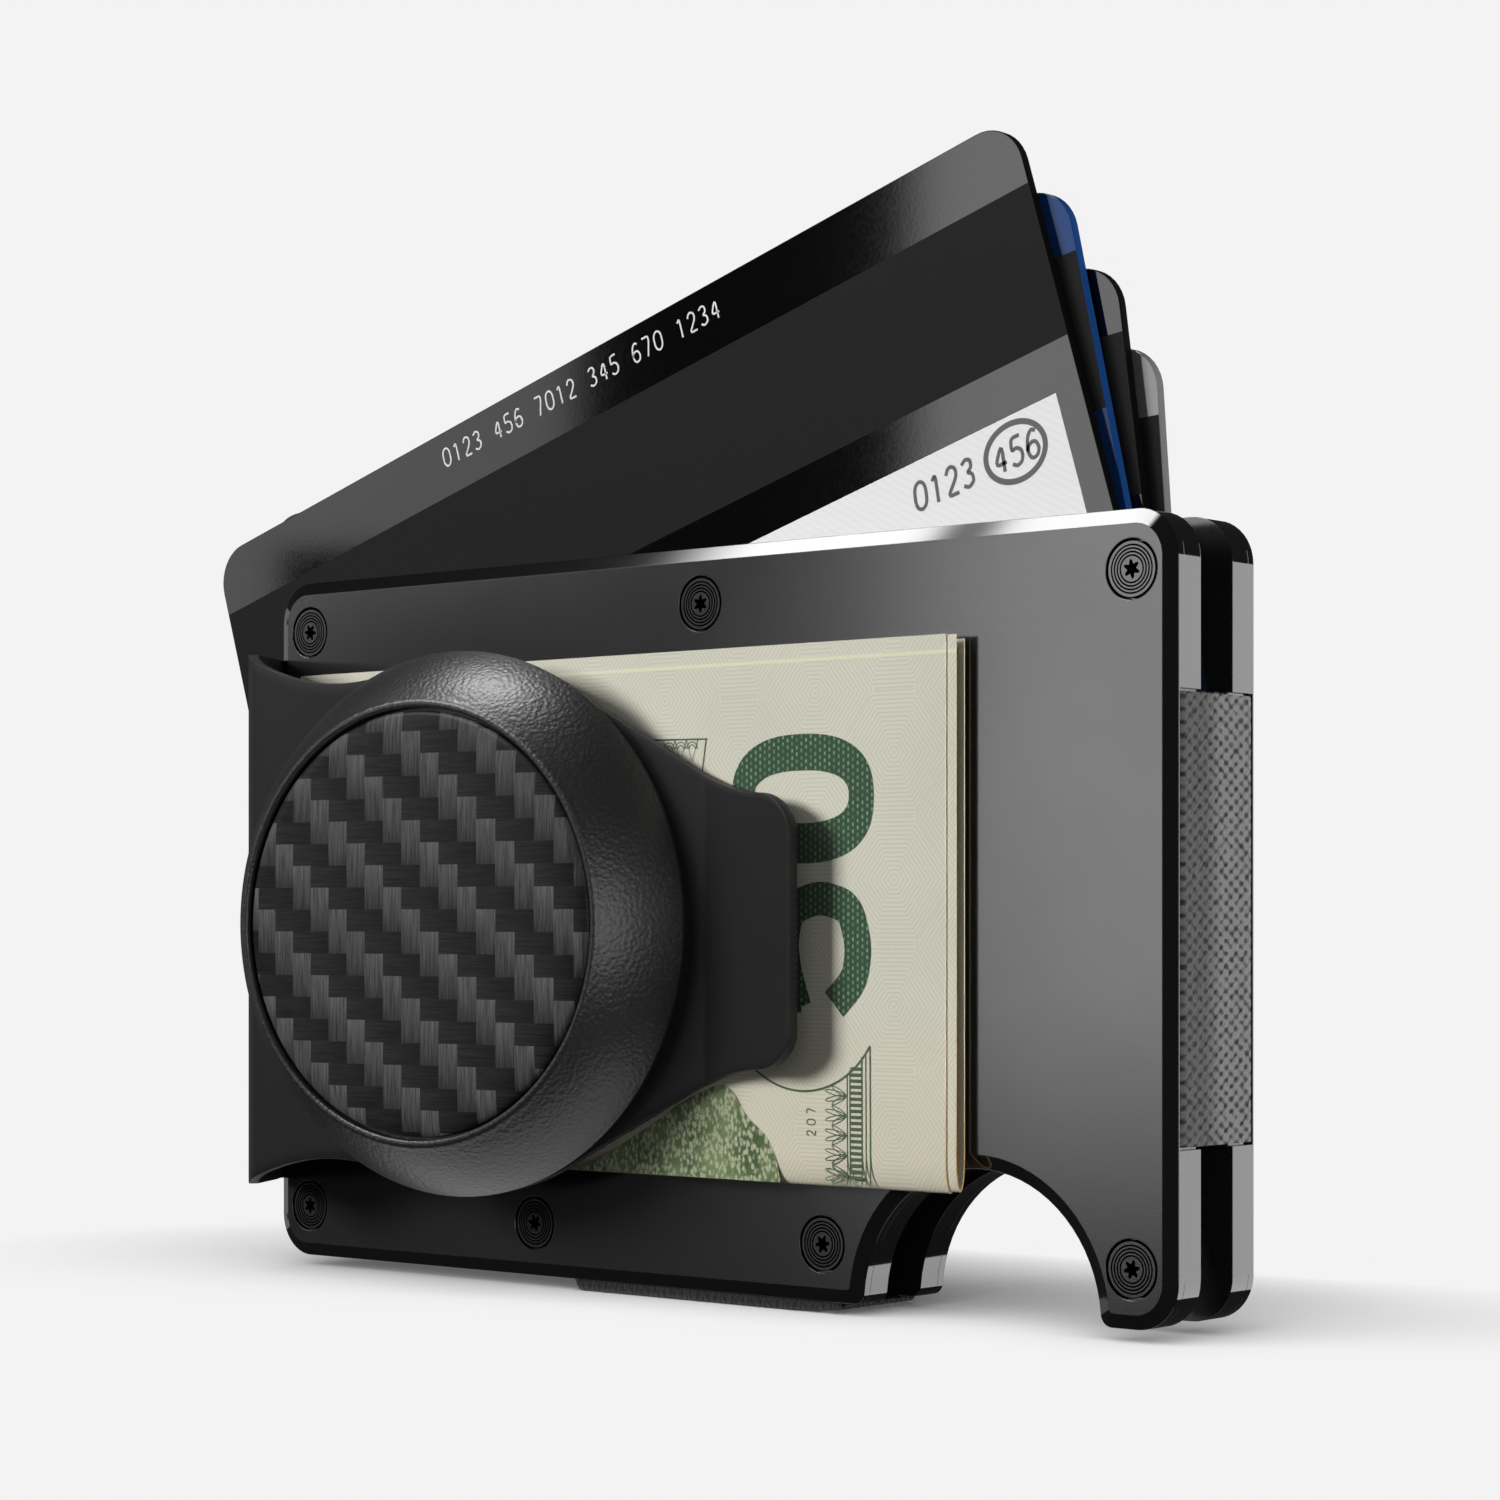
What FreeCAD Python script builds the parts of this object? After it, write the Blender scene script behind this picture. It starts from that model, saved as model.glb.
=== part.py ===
"""Minimalist card wallet: two metal frames held by elastic, a flexing money clip that carries
a round coin-tracker case, four fanned cards and a small stack of folded notes.

Frame of the part: millimetres, +Z up.  The wallet stands on the flat underside of its bottom
elastic.  X = 0 is the middle of the plates, Y = 0 the middle of the card gap, Z = 0 the ground.
The clip side faces -Y.
"""
import FreeCAD, Part
import math
import os

Vector = FreeCAD.Vector
os.makedirs("parts", exist_ok=True)

# ---------------------------------------------------------------- driving dimensions (mm)
PLATE_LENGTH = 86.0
PLATE_HEIGHT = 54.0
PLATE_BOTTOM = 0.9            # the bottom elastic lifts the plates off the ground
CORNER_RADIUS = 3.2
CHAMFER_WIDTH = 1.0           # measured in the plane of the plate
CHAMFER_DEPTH = 0.45
CARD_GAP = 3.9
OUTER_PLATE = 1.1             # thickness
INNER_PLATE = 1.95            # thickness
FIT = 0.02                    # clearance between pieces that are screwed together

NOTCH_X = 26.9                # thumb notch, centred on the bottom edge
NOTCH_RADIUS = 10.0
NOTCH_FOOT_FILLET = 0.9
NOTCH_FOOT_FILLET_ON_FACE = 0.3

SCREW_PLACES = [(-39.4, 23.0), (2.1, 22.9), (39.6, 23.0),
                (-39.4, -23.0), (-14.5, -23.0), (13.5, -22.9), (39.6, -23.0)]
SCREW_HEAD_RADIUS = 1.9
SCREW_HEAD_HEIGHT = 0.72
SCREW_HEAD_SINK = 0.03
SCREW_RECESS_RADIUS = 2.05
SCREW_RECESS_DEPTH = 0.76
SCREW_SHANK_RADIUS = 0.98
SCREW_HOLE_RADIUS = 1.02
SCREW_SOCKET_RADIUS = 0.62
SCREW_SOCKET_DEPTH = 0.4
SCREW_SOCKET_CORE = 0.465      # radius of the round middle of the socket
SCREW_SOCKET_LOBE = 0.174      # radius of each of its six lobes
SCREW_SOCKET_LOBES = 6

STRAP_THICKNESS = 0.45
STRAP_PROUD = 0.1             # how far the side strap stands out of the plates' ends
STRAP_EDGE_FROM_FACE = 0.58   # the strap leaves the frame this far behind the plate's face
SIDE_STRAP_HALF_HEIGHT = 14.9
SIDE_STRAP_TAIL_X = 36.6
BOTTOM_STRAP_LEFT = -11.0
BOTTOM_STRAP_RIGHT = 14.5
BOTTOM_STRAP_TAIL_RIGHT = 11.0
BOTTOM_STRAP_TURN_UP = 2.6
BOTTOM_STRAP_TAIL_TOP = 7.4
SLOT_CLEARANCE = 0.2

CARD_LENGTH = 85.6
CARD_HEIGHT = 53.98
CARD_THICKNESS = 0.76
CARD_CORNER = 3.18
CARD_PITCH = 0.95
CARD_FIRST_FACE_Y = -1.87
# turn in degrees, centre X, centre Z of each fanned card, from the clip side backwards
CARD_FAN = [(16.96, -5.44, 44.75), (12.75, -4.49, 42.51), (7.8, -3.88, 40.06), (4.2, -3.22, 36.85)]
CARD_STOWED_X = -0.5
CARD_STOWED_Z = 28.0

NOTE_LEFT = -38.9
NOTE_LENGTH = 65.1
NOTE_BOTTOM = 9.2
NOTE_HEIGHT = 38.1
NOTE_THICKNESS = 0.42
NOTE_PITCH = 0.45
NOTE_FIRST_FACE_Y = -5.12
NOTE_COUNT = 3

CLIP_SHEET = 0.8
CLIP_TURN = 7.4               # degrees; the flat of the clip leans against the notes
CLIP_FLAT_X = -17.0           # a point of the flat's outer face, on the case's axis
CLIP_FLAT_Y = -10.2
CLIP_AXIS_Z = 27.55           # height of the case's axis
CLIP_WALL_LEAN = 54.2         # degrees between the slanted side wall and the plates
CLIP_CORNER_U = -21.35        # the wall's outer corner, along the flat from the case's axis
CLIP_CORNER_RADIUS = 2.2
CLIP_FOLD_RADIUS = 0.8
CLIP_TAB_END_X = -36.0
CLIP_CREASE_U = 21.8
CLIP_CREASE_RADIUS = 3.0
CLIP_LIP_ANGLE = 17.4
CLIP_LIP_LENGTH = 9.4
CLIP_DROOP = 0.0173           # the clip's middle drops by this share of the way to its tip
CLIP_WALL_HALF = 21.0
CLIP_OUTLINE_START = -34.0
# half height along the flat, as arcs through three (distance, half height) points and lines between
CLIP_ARCS = [((-21.6, 20.8), (-13.6, 18.35), (-6.6, 19.1)),
             ((-6.6, 19.1), (2.0, 20.1), (10.9, 17.0)),
             ((19.6, 12.2), (23.4, 10.5), (27.4, 9.75)),
             ((27.4, 9.75), (29.9, 8.75), (31.0, 6.6))]
CLIP_FOLD_ZONE = 4.0          # depth in front of the seam that holds the folded edge
CLIP_WALL_ZONE = 1.2          # how far past the corner the wall keeps its full height
CLIP_OUTLINE_BACK = -6.0
CLIP_OUTLINE_DEPTH = 12.0
CLIP_SEAM = 0.05              # half the gap at the flexing line between tab and leg
TAB_BOSS_X = -38.6
TAB_BOSS_Z = 12.0
TAB_BOSS_RADIUS = 1.5

CASE_RADIUS = 20.4
CASE_CUP_RADIUS = 20.2
CASE_CUP_RIM = 0.55
CASE_CUP_FLOOR = 1.0
CASE_CUP_FLOOR_RADIUS = 15.7
CASE_SNAP_INNER = 16.2
CASE_SNAP_OUTER = 17.35
CASE_SNAP_TOP = 3.5
CAP_BASE = 0.62
CAP_CAVITY_RADIUS = 17.6
CAP_SHELF_RADIUS = 15.9        # narrower part of the cavity, above the snap ring
CAP_SHELF_HEIGHT = 3.6
CAP_FLOOR_LOW = 4.6
CAP_FLOOR_HIGH = 5.2
# (radius, height) points of the cap's domed outside and of its lip round the disc
CAP_DOME_MIDDLE = (18.55, 3.4)
CAP_LIP_OUTER = (16.6, 5.85)
CAP_LIP_CREST = (16.3, 6.05)
CAP_LIP_INNER_HEIGHT = 6.0
DISC_RADIUS = 15.7
DISC_POCKET_RADIUS = 15.95
DISC_TOP = 5.95
CASE_SCREW_CIRCLE = 10.0
CASE_SCREW_COUNT = 3
CASE_SCREW_HEAD_HEIGHT = 0.5
CASE_HOLE_CUT = 4.0

TRACKER_RADIUS = 15.4
TRACKER_WALL = 0.7
TRACKER_LOW = 1.06
TRACKER_FLOOR = 0.45
TRACKER_SEAM = 2.62
TRACKER_TOP = 4.5
CELL_RADIUS = 10.0
CELL_HEIGHT = 1.6
BOARD_RADIUS = 14.3
BOARD_HEIGHT = 0.4
SOUNDER_RADIUS = 6.0
SOUNDER_HEIGHT = 0.25
CONTACT_OUTER = 11.4
CONTACT_INNER = 10.5
CONTACT_ARC = 50.0            # degrees of the ring that the contact covers
PIECE_GAP = 0.05              # play between the pieces inside the tracker
BOARD_GAP = 0.1

# ---------------------------------------------------------------- derived places
PLATE_MIDDLE_Z = PLATE_BOTTOM + PLATE_HEIGHT / 2
GAP_FACE_Y = -CARD_GAP / 2
SEAM_Y = GAP_FACE_Y - INNER_PLATE
FRONT_FACE_Y = SEAM_Y - OUTER_PLATE
STRAP_FRONT_Y = FRONT_FACE_Y + STRAP_EDGE_FROM_FACE
HALF_LENGTH = PLATE_LENGTH / 2
MARGIN = 0.2                  # how far cutting tools overshoot
REACH = 80.0                  # blocks that split a shape are larger than the wallet


# ---------------------------------------------------------------- helpers
def save(node, shape):
    shape.exportStep("parts/" + node + ".step")
    print(node, "solids", len(shape.Solids), "volume", round(shape.Volume, 2), "valid", shape.isValid())


def box(x0, x1, y0, y1, z0, z1):
    return Part.makeBox(x1 - x0, y1 - y0, z1 - z0, Vector(x0, y0, z0))


def mirrored(shape):
    """The same shape on the other side of the card gap."""
    return shape.mirror(Vector(0, 0, 0), Vector(0, 1, 0))


def line(a, b):
    return Part.LineSegment(a, b).toShape()


def arc(a, through, b):
    return Part.Arc(a, through, b).toShape()


def cylinder_y(x, z, radius, y0, y1):
    return Part.makeCylinder(radius, y1 - y0, Vector(x, y0, z), Vector(0, 1, 0))


def lathe(profile):
    """A solid of revolution about +Z from (radius, height) corners."""
    points = [Vector(radius, 0, height) for radius, height in profile]
    face = Part.Face(Part.makePolygon(points + [points[0]]))
    return face.revolve(Vector(0, 0, 0), Vector(0, 0, 1), 360)


def plate_outline(inset, foot, y):
    """Rounded plate with the thumb notch in its lower edge, drawn inset by a constant distance."""
    left = -HALF_LENGTH + inset
    right = HALF_LENGTH - inset
    low = PLATE_BOTTOM + inset
    high = PLATE_BOTTOM + PLATE_HEIGHT - inset
    radius = CORNER_RADIUS - inset
    slant = radius * (1 - math.sqrt(0.5))
    notch = NOTCH_RADIUS + inset
    reach = math.sqrt((notch + foot) ** 2 - (inset + foot) ** 2)
    centre = Vector(NOTCH_X, y, PLATE_BOTTOM)
    feet = []
    for side in (-1, 1):
        fillet = Vector(NOTCH_X + side * reach, y, low + foot)
        towards = (centre - fillet).normalize()
        halfway = (towards + Vector(0, 0, -1)).normalize()
        feet.append((fillet + Vector(0, 0, -foot), fillet + halfway * foot, fillet + towards * foot))
    on_line_a, mid_a, on_notch_a = feet[0]
    on_line_b, mid_b, on_notch_b = feet[1]

    def at(x, z):
        return Vector(x, y, z)

    edges = [
        line(at(left + radius, low), on_line_a),
        arc(on_line_a, mid_a, on_notch_a),
        arc(on_notch_a, at(NOTCH_X, PLATE_BOTTOM + notch), on_notch_b),
        arc(on_notch_b, mid_b, on_line_b),
        line(on_line_b, at(right - radius, low)),
        arc(at(right - radius, low), at(right - slant, low + slant), at(right, low + radius)),
        line(at(right, low + radius), at(right, high - radius)),
        arc(at(right, high - radius), at(right - slant, high - slant), at(right - radius, high)),
        line(at(right - radius, high), at(left + radius, high)),
        arc(at(left + radius, high), at(left + slant, high - slant), at(left, high - radius)),
        line(at(left, high - radius), at(left, low + radius)),
        arc(at(left, low + radius), at(left + slant, low + slant), at(left + radius, low)),
    ]
    return Part.Wire(edges)


def plate_slab(y0, y1):
    return Part.Face(plate_outline(0, NOTCH_FOOT_FILLET, y0)).extrude(Vector(0, y1 - y0, 0))


def bent_strip(points, radii, half):
    """Closed wire round a sheet that follows points in the XY plane, bent to the given radii."""
    steps = [(b - a).normalize() for a, b in zip(points, points[1:])]
    normals = [Vector(-d.y, d.x, 0) for d in steps]

    def side_edges(offset):
        edges = []
        start = points[0] + normals[0] * offset
        for i, radius in enumerate(radii):
            corner = points[i + 1]
            cross = steps[i].x * steps[i + 1].y - steps[i].y * steps[i + 1].x
            turn = math.acos(max(-1.0, min(1.0, steps[i].dot(steps[i + 1]))))
            sign = 1 if cross > 0 else -1
            setback = radius * math.tan(turn / 2)
            centre = corner - steps[i] * setback + normals[i] * (sign * radius)
            reach = radius - sign * offset
            begin = corner - steps[i] * setback + normals[i] * offset
            end = corner + steps[i + 1] * setback + normals[i + 1] * offset
            middle = centre + (corner - centre).normalize() * reach
            edges.append(line(start, begin))
            edges.append(arc(begin, middle, end))
            start = end
        edges.append(line(start, points[-1] + normals[-1] * offset))
        return edges

    left = side_edges(half)
    right = side_edges(-half)
    ends = [line(points[0] + normals[0] * half, points[0] - normals[0] * half),
            line(points[-1] + normals[-1] * half, points[-1] - normals[-1] * half)]
    return Part.Wire(Part.__sortEdges__(left + right + ends))


def strip_solid(points, radii, half, z0, z1):
    wire = bent_strip(points, radii, half)
    wire.translate(Vector(0, 0, z0))
    return Part.Face(wire).extrude(Vector(0, 0, z1 - z0))


# ---------------------------------------------------------------- frames
def strap_slots():
    """Space behind an outer plate for the ends of both elastics."""
    half = SIDE_STRAP_HALF_HEIGHT + SLOT_CLEARANCE
    side = box(SIDE_STRAP_TAIL_X - SLOT_CLEARANCE, HALF_LENGTH + 1, STRAP_FRONT_Y - FIT, SEAM_Y,
               PLATE_MIDDLE_Z - half, PLATE_MIDDLE_Z + half)
    lip = box(BOTTOM_STRAP_LEFT - SLOT_CLEARANCE, BOTTOM_STRAP_RIGHT + SLOT_CLEARANCE,
              STRAP_FRONT_Y - FIT, SEAM_Y, 0, BOTTOM_STRAP_TURN_UP + SLOT_CLEARANCE)
    tail = box(BOTTOM_STRAP_LEFT - SLOT_CLEARANCE, BOTTOM_STRAP_TAIL_RIGHT + SLOT_CLEARANCE,
               STRAP_FRONT_Y - FIT, SEAM_Y, 0, BOTTOM_STRAP_TAIL_TOP + SLOT_CLEARANCE)
    return [side, lip, tail]


def outer_plate():
    chamfer_back = FRONT_FACE_Y + CHAMFER_DEPTH
    wires = [plate_outline(CHAMFER_WIDTH, NOTCH_FOOT_FILLET_ON_FACE, FRONT_FACE_Y),
             plate_outline(0, NOTCH_FOOT_FILLET, chamfer_back)]
    plate = Part.makeLoft(wires, True, True).fuse(plate_slab(chamfer_back, SEAM_Y)).removeSplitter()
    cuts = strap_slots()
    for x, z in SCREW_PLACES:
        z += PLATE_MIDDLE_Z
        cuts.append(cylinder_y(x, z, SCREW_RECESS_RADIUS, FRONT_FACE_Y - MARGIN,
                               FRONT_FACE_Y + SCREW_RECESS_DEPTH))
        cuts.append(cylinder_y(x, z, SCREW_HOLE_RADIUS, FRONT_FACE_Y - MARGIN, SEAM_Y + MARGIN))
    return plate.cut(cuts)


def inner_plate():
    plate = plate_slab(SEAM_Y, GAP_FACE_Y)
    half = SIDE_STRAP_HALF_HEIGHT + SLOT_CLEARANCE
    strap_bed = HALF_LENGTH + STRAP_PROUD - STRAP_THICKNESS - FIT
    cuts = [box(strap_bed, HALF_LENGTH + 1, SEAM_Y - MARGIN, GAP_FACE_Y + MARGIN,
                PLATE_MIDDLE_Z - half, PLATE_MIDDLE_Z + half)]
    for x, z in SCREW_PLACES:
        cuts.append(cylinder_y(x, z + PLATE_MIDDLE_Z, SCREW_HOLE_RADIUS, SEAM_Y - MARGIN,
                               GAP_FACE_Y + MARGIN))
    return plate.cut(cuts)


def front_inner_plate():
    """The clip side also holds the clip's tab, on two bosses in a shallow pocket."""
    back = SEAM_Y + CLIP_SHEET + FIT
    pocket = box(-HALF_LENGTH - 1, CLIP_TAB_END_X + SLOT_CLEARANCE, SEAM_Y - MARGIN, back,
                 PLATE_MIDDLE_Z - CLIP_WALL_HALF - SLOT_CLEARANCE,
                 PLATE_MIDDLE_Z + CLIP_WALL_HALF + SLOT_CLEARANCE)
    plate = inner_plate().cut(pocket)
    for side in (-1, 1):
        boss = cylinder_y(TAB_BOSS_X, PLATE_MIDDLE_Z + side * TAB_BOSS_Z, TAB_BOSS_RADIUS, SEAM_Y, back)
        plate = plate.fuse(boss)
    return plate.removeSplitter()


def screw_at(x, z):
    """Flush pan-head screw with a six-lobed socket, seen from -Y."""
    head_front = FRONT_FACE_Y + SCREW_HEAD_SINK
    head_back = head_front + SCREW_HEAD_HEIGHT
    head = cylinder_y(x, z, SCREW_HEAD_RADIUS, head_front, head_back)
    shank = cylinder_y(x, z, SCREW_SHANK_RADIUS, head_back, GAP_FACE_Y - MARGIN)
    socket = [cylinder_y(x, z, SCREW_SOCKET_CORE, head_front - MARGIN,
                         head_front + SCREW_SOCKET_DEPTH)]
    for lobe in range(SCREW_SOCKET_LOBES):
        angle = 2 * math.pi * lobe / SCREW_SOCKET_LOBES
        socket.append(cylinder_y(x + SCREW_SOCKET_RADIUS * math.cos(angle),
                                 z + SCREW_SOCKET_RADIUS * math.sin(angle),
                                 SCREW_SOCKET_LOBE, head_front - MARGIN,
                                 head_front + SCREW_SOCKET_DEPTH))
    return head.fuse(shank).cut(socket)


def frame_screws():
    return Part.makeCompound([screw_at(x, z + PLATE_MIDDLE_Z) for x, z in SCREW_PLACES])


def side_elastic():
    """C-shaped strap round the right-hand ends of the inner plates."""
    outside = HALF_LENGTH + STRAP_PROUD - STRAP_THICKNESS / 2
    front = STRAP_FRONT_Y + STRAP_THICKNESS / 2
    path = [Vector(SIDE_STRAP_TAIL_X, front, 0), Vector(outside, front, 0),
            Vector(outside, -front, 0), Vector(SIDE_STRAP_TAIL_X, -front, 0)]
    bend = STRAP_THICKNESS / 2 + FIT
    return strip_solid(path, [bend, bend], STRAP_THICKNESS / 2,
                       PLATE_MIDDLE_Z - SIDE_STRAP_HALF_HEIGHT, PLATE_MIDDLE_Z + SIDE_STRAP_HALF_HEIGHT)


def bottom_elastic():
    """U-shaped strap under the plates; its flat underside is what the wallet stands on."""
    reach = -STRAP_FRONT_Y
    sheet = box(BOTTOM_STRAP_LEFT, BOTTOM_STRAP_RIGHT, -reach, reach, 0, STRAP_THICKNESS)
    for side in (-1, 1):
        outer, inner = side * reach, side * (reach - STRAP_THICKNESS)
        low_y, high_y = min(outer, inner), max(outer, inner)
        sheet = sheet.fuse(box(BOTTOM_STRAP_LEFT, BOTTOM_STRAP_RIGHT, low_y, high_y, 0,
                               BOTTOM_STRAP_TURN_UP))
        sheet = sheet.fuse(box(BOTTOM_STRAP_LEFT, BOTTOM_STRAP_TAIL_RIGHT, low_y, high_y, 0,
                               BOTTOM_STRAP_TAIL_TOP))
    return sheet.removeSplitter()


# ---------------------------------------------------------------- money clip
TURN = math.radians(CLIP_TURN)
ALONG = Vector(math.cos(TURN), math.sin(TURN), 0)        # along the clip's flat, towards its tip
OUTWARD = Vector(math.sin(TURN), -math.cos(TURN), 0)     # out of the clip's flat
FLAT_ORIGIN = Vector(CLIP_FLAT_X, CLIP_FLAT_Y, 0)


def on_flat(u, w, z=0.0):
    """Row-frame point at u along the flat, w out of its outer face, height z."""
    return FLAT_ORIGIN + ALONG * u + OUTWARD * w + Vector(0, 0, z)


def clip_path():
    """Middle line of the clip's sheet: tab, folded edge, slanted wall, flat, crease and lip."""
    lean = math.radians(CLIP_WALL_LEAN)
    wall = Vector(math.cos(lean), -math.sin(lean), 0)
    tab_y = SEAM_Y + CLIP_SHEET / 2
    corner = on_flat(CLIP_CORNER_U + CLIP_SHEET / 4, -CLIP_SHEET / 2)
    fold = corner - wall * ((tab_y - corner.y) / math.sin(lean))
    crease = on_flat(CLIP_CREASE_U, -CLIP_SHEET / 2)
    lip = TURN - math.radians(CLIP_LIP_ANGLE)
    tip = crease + Vector(math.cos(lip), math.sin(lip), 0) * CLIP_LIP_LENGTH
    tab_end = Vector(CLIP_TAB_END_X, fold.y, 0)
    return [tab_end, fold, corner, crease, tip], wall


def flex_point():
    """Where the wall leaves the folded edge: the clip bends about the upright line here."""
    points, wall = clip_path()
    turn = math.pi - math.radians(CLIP_WALL_LEAN)
    return points[1] + wall * (CLIP_FOLD_RADIUS * math.tan(turn / 2)), wall


def clip_outline():
    """The clip's silhouette seen square to its flat, as a face at u, height z."""
    def at(u, z, side):
        middle = -CLIP_DROOP * (u - CLIP_CORNER_U)
        return on_flat(u, CLIP_OUTLINE_BACK, PLATE_MIDDLE_Z + middle + side * z)

    def half(side):
        edges = []
        last = at(CLIP_OUTLINE_START, CLIP_WALL_HALF, side)
        for points in CLIP_ARCS:
            begin, through, end = [at(u, z, side) for u, z in points]
            if (begin - last).Length > FIT:
                edges.append(line(last, begin))
            edges.append(arc(begin, through, end))
            last = end
        return edges

    tip = CLIP_ARCS[-1][-1]
    ends = [line(at(u, z, 1), at(u, z, -1)) for u, z in ((CLIP_OUTLINE_START, CLIP_WALL_HALF), tip)]
    return Part.Face(Part.Wire(Part.__sortEdges__(half(1) + half(-1) + ends)))


def clip_sheet():
    points, _ = clip_path()
    radii = [CLIP_FOLD_RADIUS, CLIP_CORNER_RADIUS, CLIP_CREASE_RADIUS]
    return strip_solid(points, radii, CLIP_SHEET / 2, PLATE_MIDDLE_Z - CLIP_WALL_HALF,
                       PLATE_MIDDLE_Z + CLIP_WALL_HALF)


def half_space(towards_leg):
    """A large block on one side of the flexing line."""
    point, wall = flex_point()
    block = Part.makeBox(REACH, REACH, REACH, Vector(CLIP_SEAM, -REACH / 2, -REACH / 2))
    if not towards_leg:
        block = block.mirror(Vector(0, 0, 0), Vector(1, 0, 0))
    angle = math.degrees(math.atan2(wall.y, wall.x))
    block.rotate(Vector(0, 0, 0), Vector(0, 0, 1), angle)
    block.translate(point + Vector(0, 0, PLATE_MIDDLE_Z))
    return block


def clip_tab():
    right, back = CLIP_TAB_END_X + MARGIN, SEAM_Y + CLIP_SHEET
    near_fold = box(-REACH, right, SEAM_Y - CLIP_FOLD_ZONE, back, 0, REACH)
    flat_part = box(-REACH, right, SEAM_Y - CLIP_SHEET / 2, back, 0, REACH)
    tab = clip_sheet().common(near_fold).common(half_space(False).fuse(flat_part))
    for side in (-1, 1):
        tab = tab.cut(cylinder_y(TAB_BOSS_X, PLATE_MIDDLE_Z + side * TAB_BOSS_Z,
                                 TAB_BOSS_RADIUS + FIT, SEAM_Y - CLIP_SHEET, back))
    return tab.removeSplitter()


def clip_leg():
    beyond_tab = box(-REACH, REACH, -REACH, SEAM_Y - CLIP_SHEET / 2, 0, REACH)
    leg = clip_sheet().common(half_space(True)).common(beyond_tab)
    silhouette = clip_outline().extrude(OUTWARD * CLIP_OUTLINE_DEPTH)
    wall_right = on_flat(CLIP_CORNER_U, 0).x + CLIP_WALL_ZONE
    wall_zone = box(-REACH, wall_right, -REACH, SEAM_Y, 0, REACH)
    leg = leg.common(silhouette.fuse(wall_zone))
    for x, z in case_screw_places():
        leg = leg.cut(on_case(case_hole(x, z)))
    return leg


# ---------------------------------------------------------------- tracker case on the clip
def on_case(shape):
    """Moves a shape turned about +Z onto the case's axis, square to the clip's flat."""
    placed = shape.copy()
    turn = FreeCAD.Rotation(Vector(0, 0, 1), OUTWARD)
    placed.Placement = FreeCAD.Placement(on_flat(0, 0, CLIP_AXIS_Z), turn).multiply(placed.Placement)
    return placed


def case_screw_places():
    angles = [math.radians(90 + 360 * i / CASE_SCREW_COUNT) for i in range(CASE_SCREW_COUNT)]
    return [(CASE_SCREW_CIRCLE * math.cos(a), CASE_SCREW_CIRCLE * math.sin(a)) for a in angles]


def case_hole(x, z):
    return Part.makeCylinder(SCREW_HOLE_RADIUS, CASE_HOLE_CUT, Vector(x, z, -CASE_HOLE_CUT / 2))


def carrier_cup():
    cup = lathe([(0, 0), (CASE_CUP_RADIUS, 0), (CASE_CUP_RADIUS, CASE_CUP_RIM),
                 (CASE_SNAP_OUTER, CASE_CUP_RIM), (CASE_SNAP_OUTER, CASE_SNAP_TOP),
                 (CASE_SNAP_INNER, CASE_SNAP_TOP), (CASE_SNAP_INNER, CASE_CUP_RIM),
                 (CASE_CUP_FLOOR_RADIUS, CASE_CUP_FLOOR), (0, CASE_CUP_FLOOR)])
    for x, z in case_screw_places():
        cup = cup.cut(case_hole(x, z))
    return on_case(cup)


def carrier_screws():
    low = -CLIP_SHEET - CASE_SCREW_HEAD_HEIGHT
    length = CASE_CUP_FLOOR - SCREW_HEAD_SINK - low
    screws = []
    for x, z in case_screw_places():
        screw = Part.makeCylinder(SCREW_HEAD_RADIUS, CASE_SCREW_HEAD_HEIGHT, Vector(x, z, low))
        shank = Part.makeCylinder(SCREW_SHANK_RADIUS, length, Vector(x, z, low))
        screws.append(on_case(screw.fuse(shank).removeSplitter()))
    return Part.makeCompound(screws)


def carrier_cap():
    """Domed ring with a floor that backs the decorative disc."""
    def at(radius, height):
        return Vector(radius, 0, height)

    base = at(CASE_RADIUS, CAP_BASE)
    inside = [at(DISC_POCKET_RADIUS, CAP_LIP_INNER_HEIGHT), at(DISC_POCKET_RADIUS, CAP_FLOOR_HIGH),
              at(0, CAP_FLOOR_HIGH), at(0, CAP_FLOOR_LOW), at(CAP_SHELF_RADIUS, CAP_FLOOR_LOW),
              at(CAP_SHELF_RADIUS, CAP_SHELF_HEIGHT), at(CAP_CAVITY_RADIUS, CAP_SHELF_HEIGHT),
              at(CAP_CAVITY_RADIUS, CAP_BASE), base]
    edges = [arc(base, at(*CAP_DOME_MIDDLE), at(*CAP_LIP_OUTER)),
             line(at(*CAP_LIP_OUTER), at(*CAP_LIP_CREST)),
             line(at(*CAP_LIP_CREST), inside[0])]
    edges += [line(a, b) for a, b in zip(inside, inside[1:])]
    face = Part.Face(Part.Wire(edges))
    return on_case(face.revolve(Vector(0, 0, 0), Vector(0, 0, 1), 360))


def plain_disc(radius, low, high):
    return on_case(Part.makeCylinder(radius, high - low, Vector(0, 0, low)))


def tracker_half(flat_low, flat_high, wall_end):
    """Shallow round shell: a flat from flat_low to flat_high and a rim that reaches wall_end."""
    low, high = min(flat_low, wall_end), max(flat_high, wall_end)
    shell = Part.makeCylinder(TRACKER_RADIUS, high - low, Vector(0, 0, low))
    hollow_low = flat_high if wall_end > flat_high else wall_end - MARGIN
    hollow_high = wall_end + MARGIN if wall_end > flat_high else flat_low
    hollow = Part.makeCylinder(TRACKER_RADIUS - TRACKER_WALL, hollow_high - hollow_low,
                               Vector(0, 0, hollow_low))
    return on_case(shell.cut(hollow))


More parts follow.
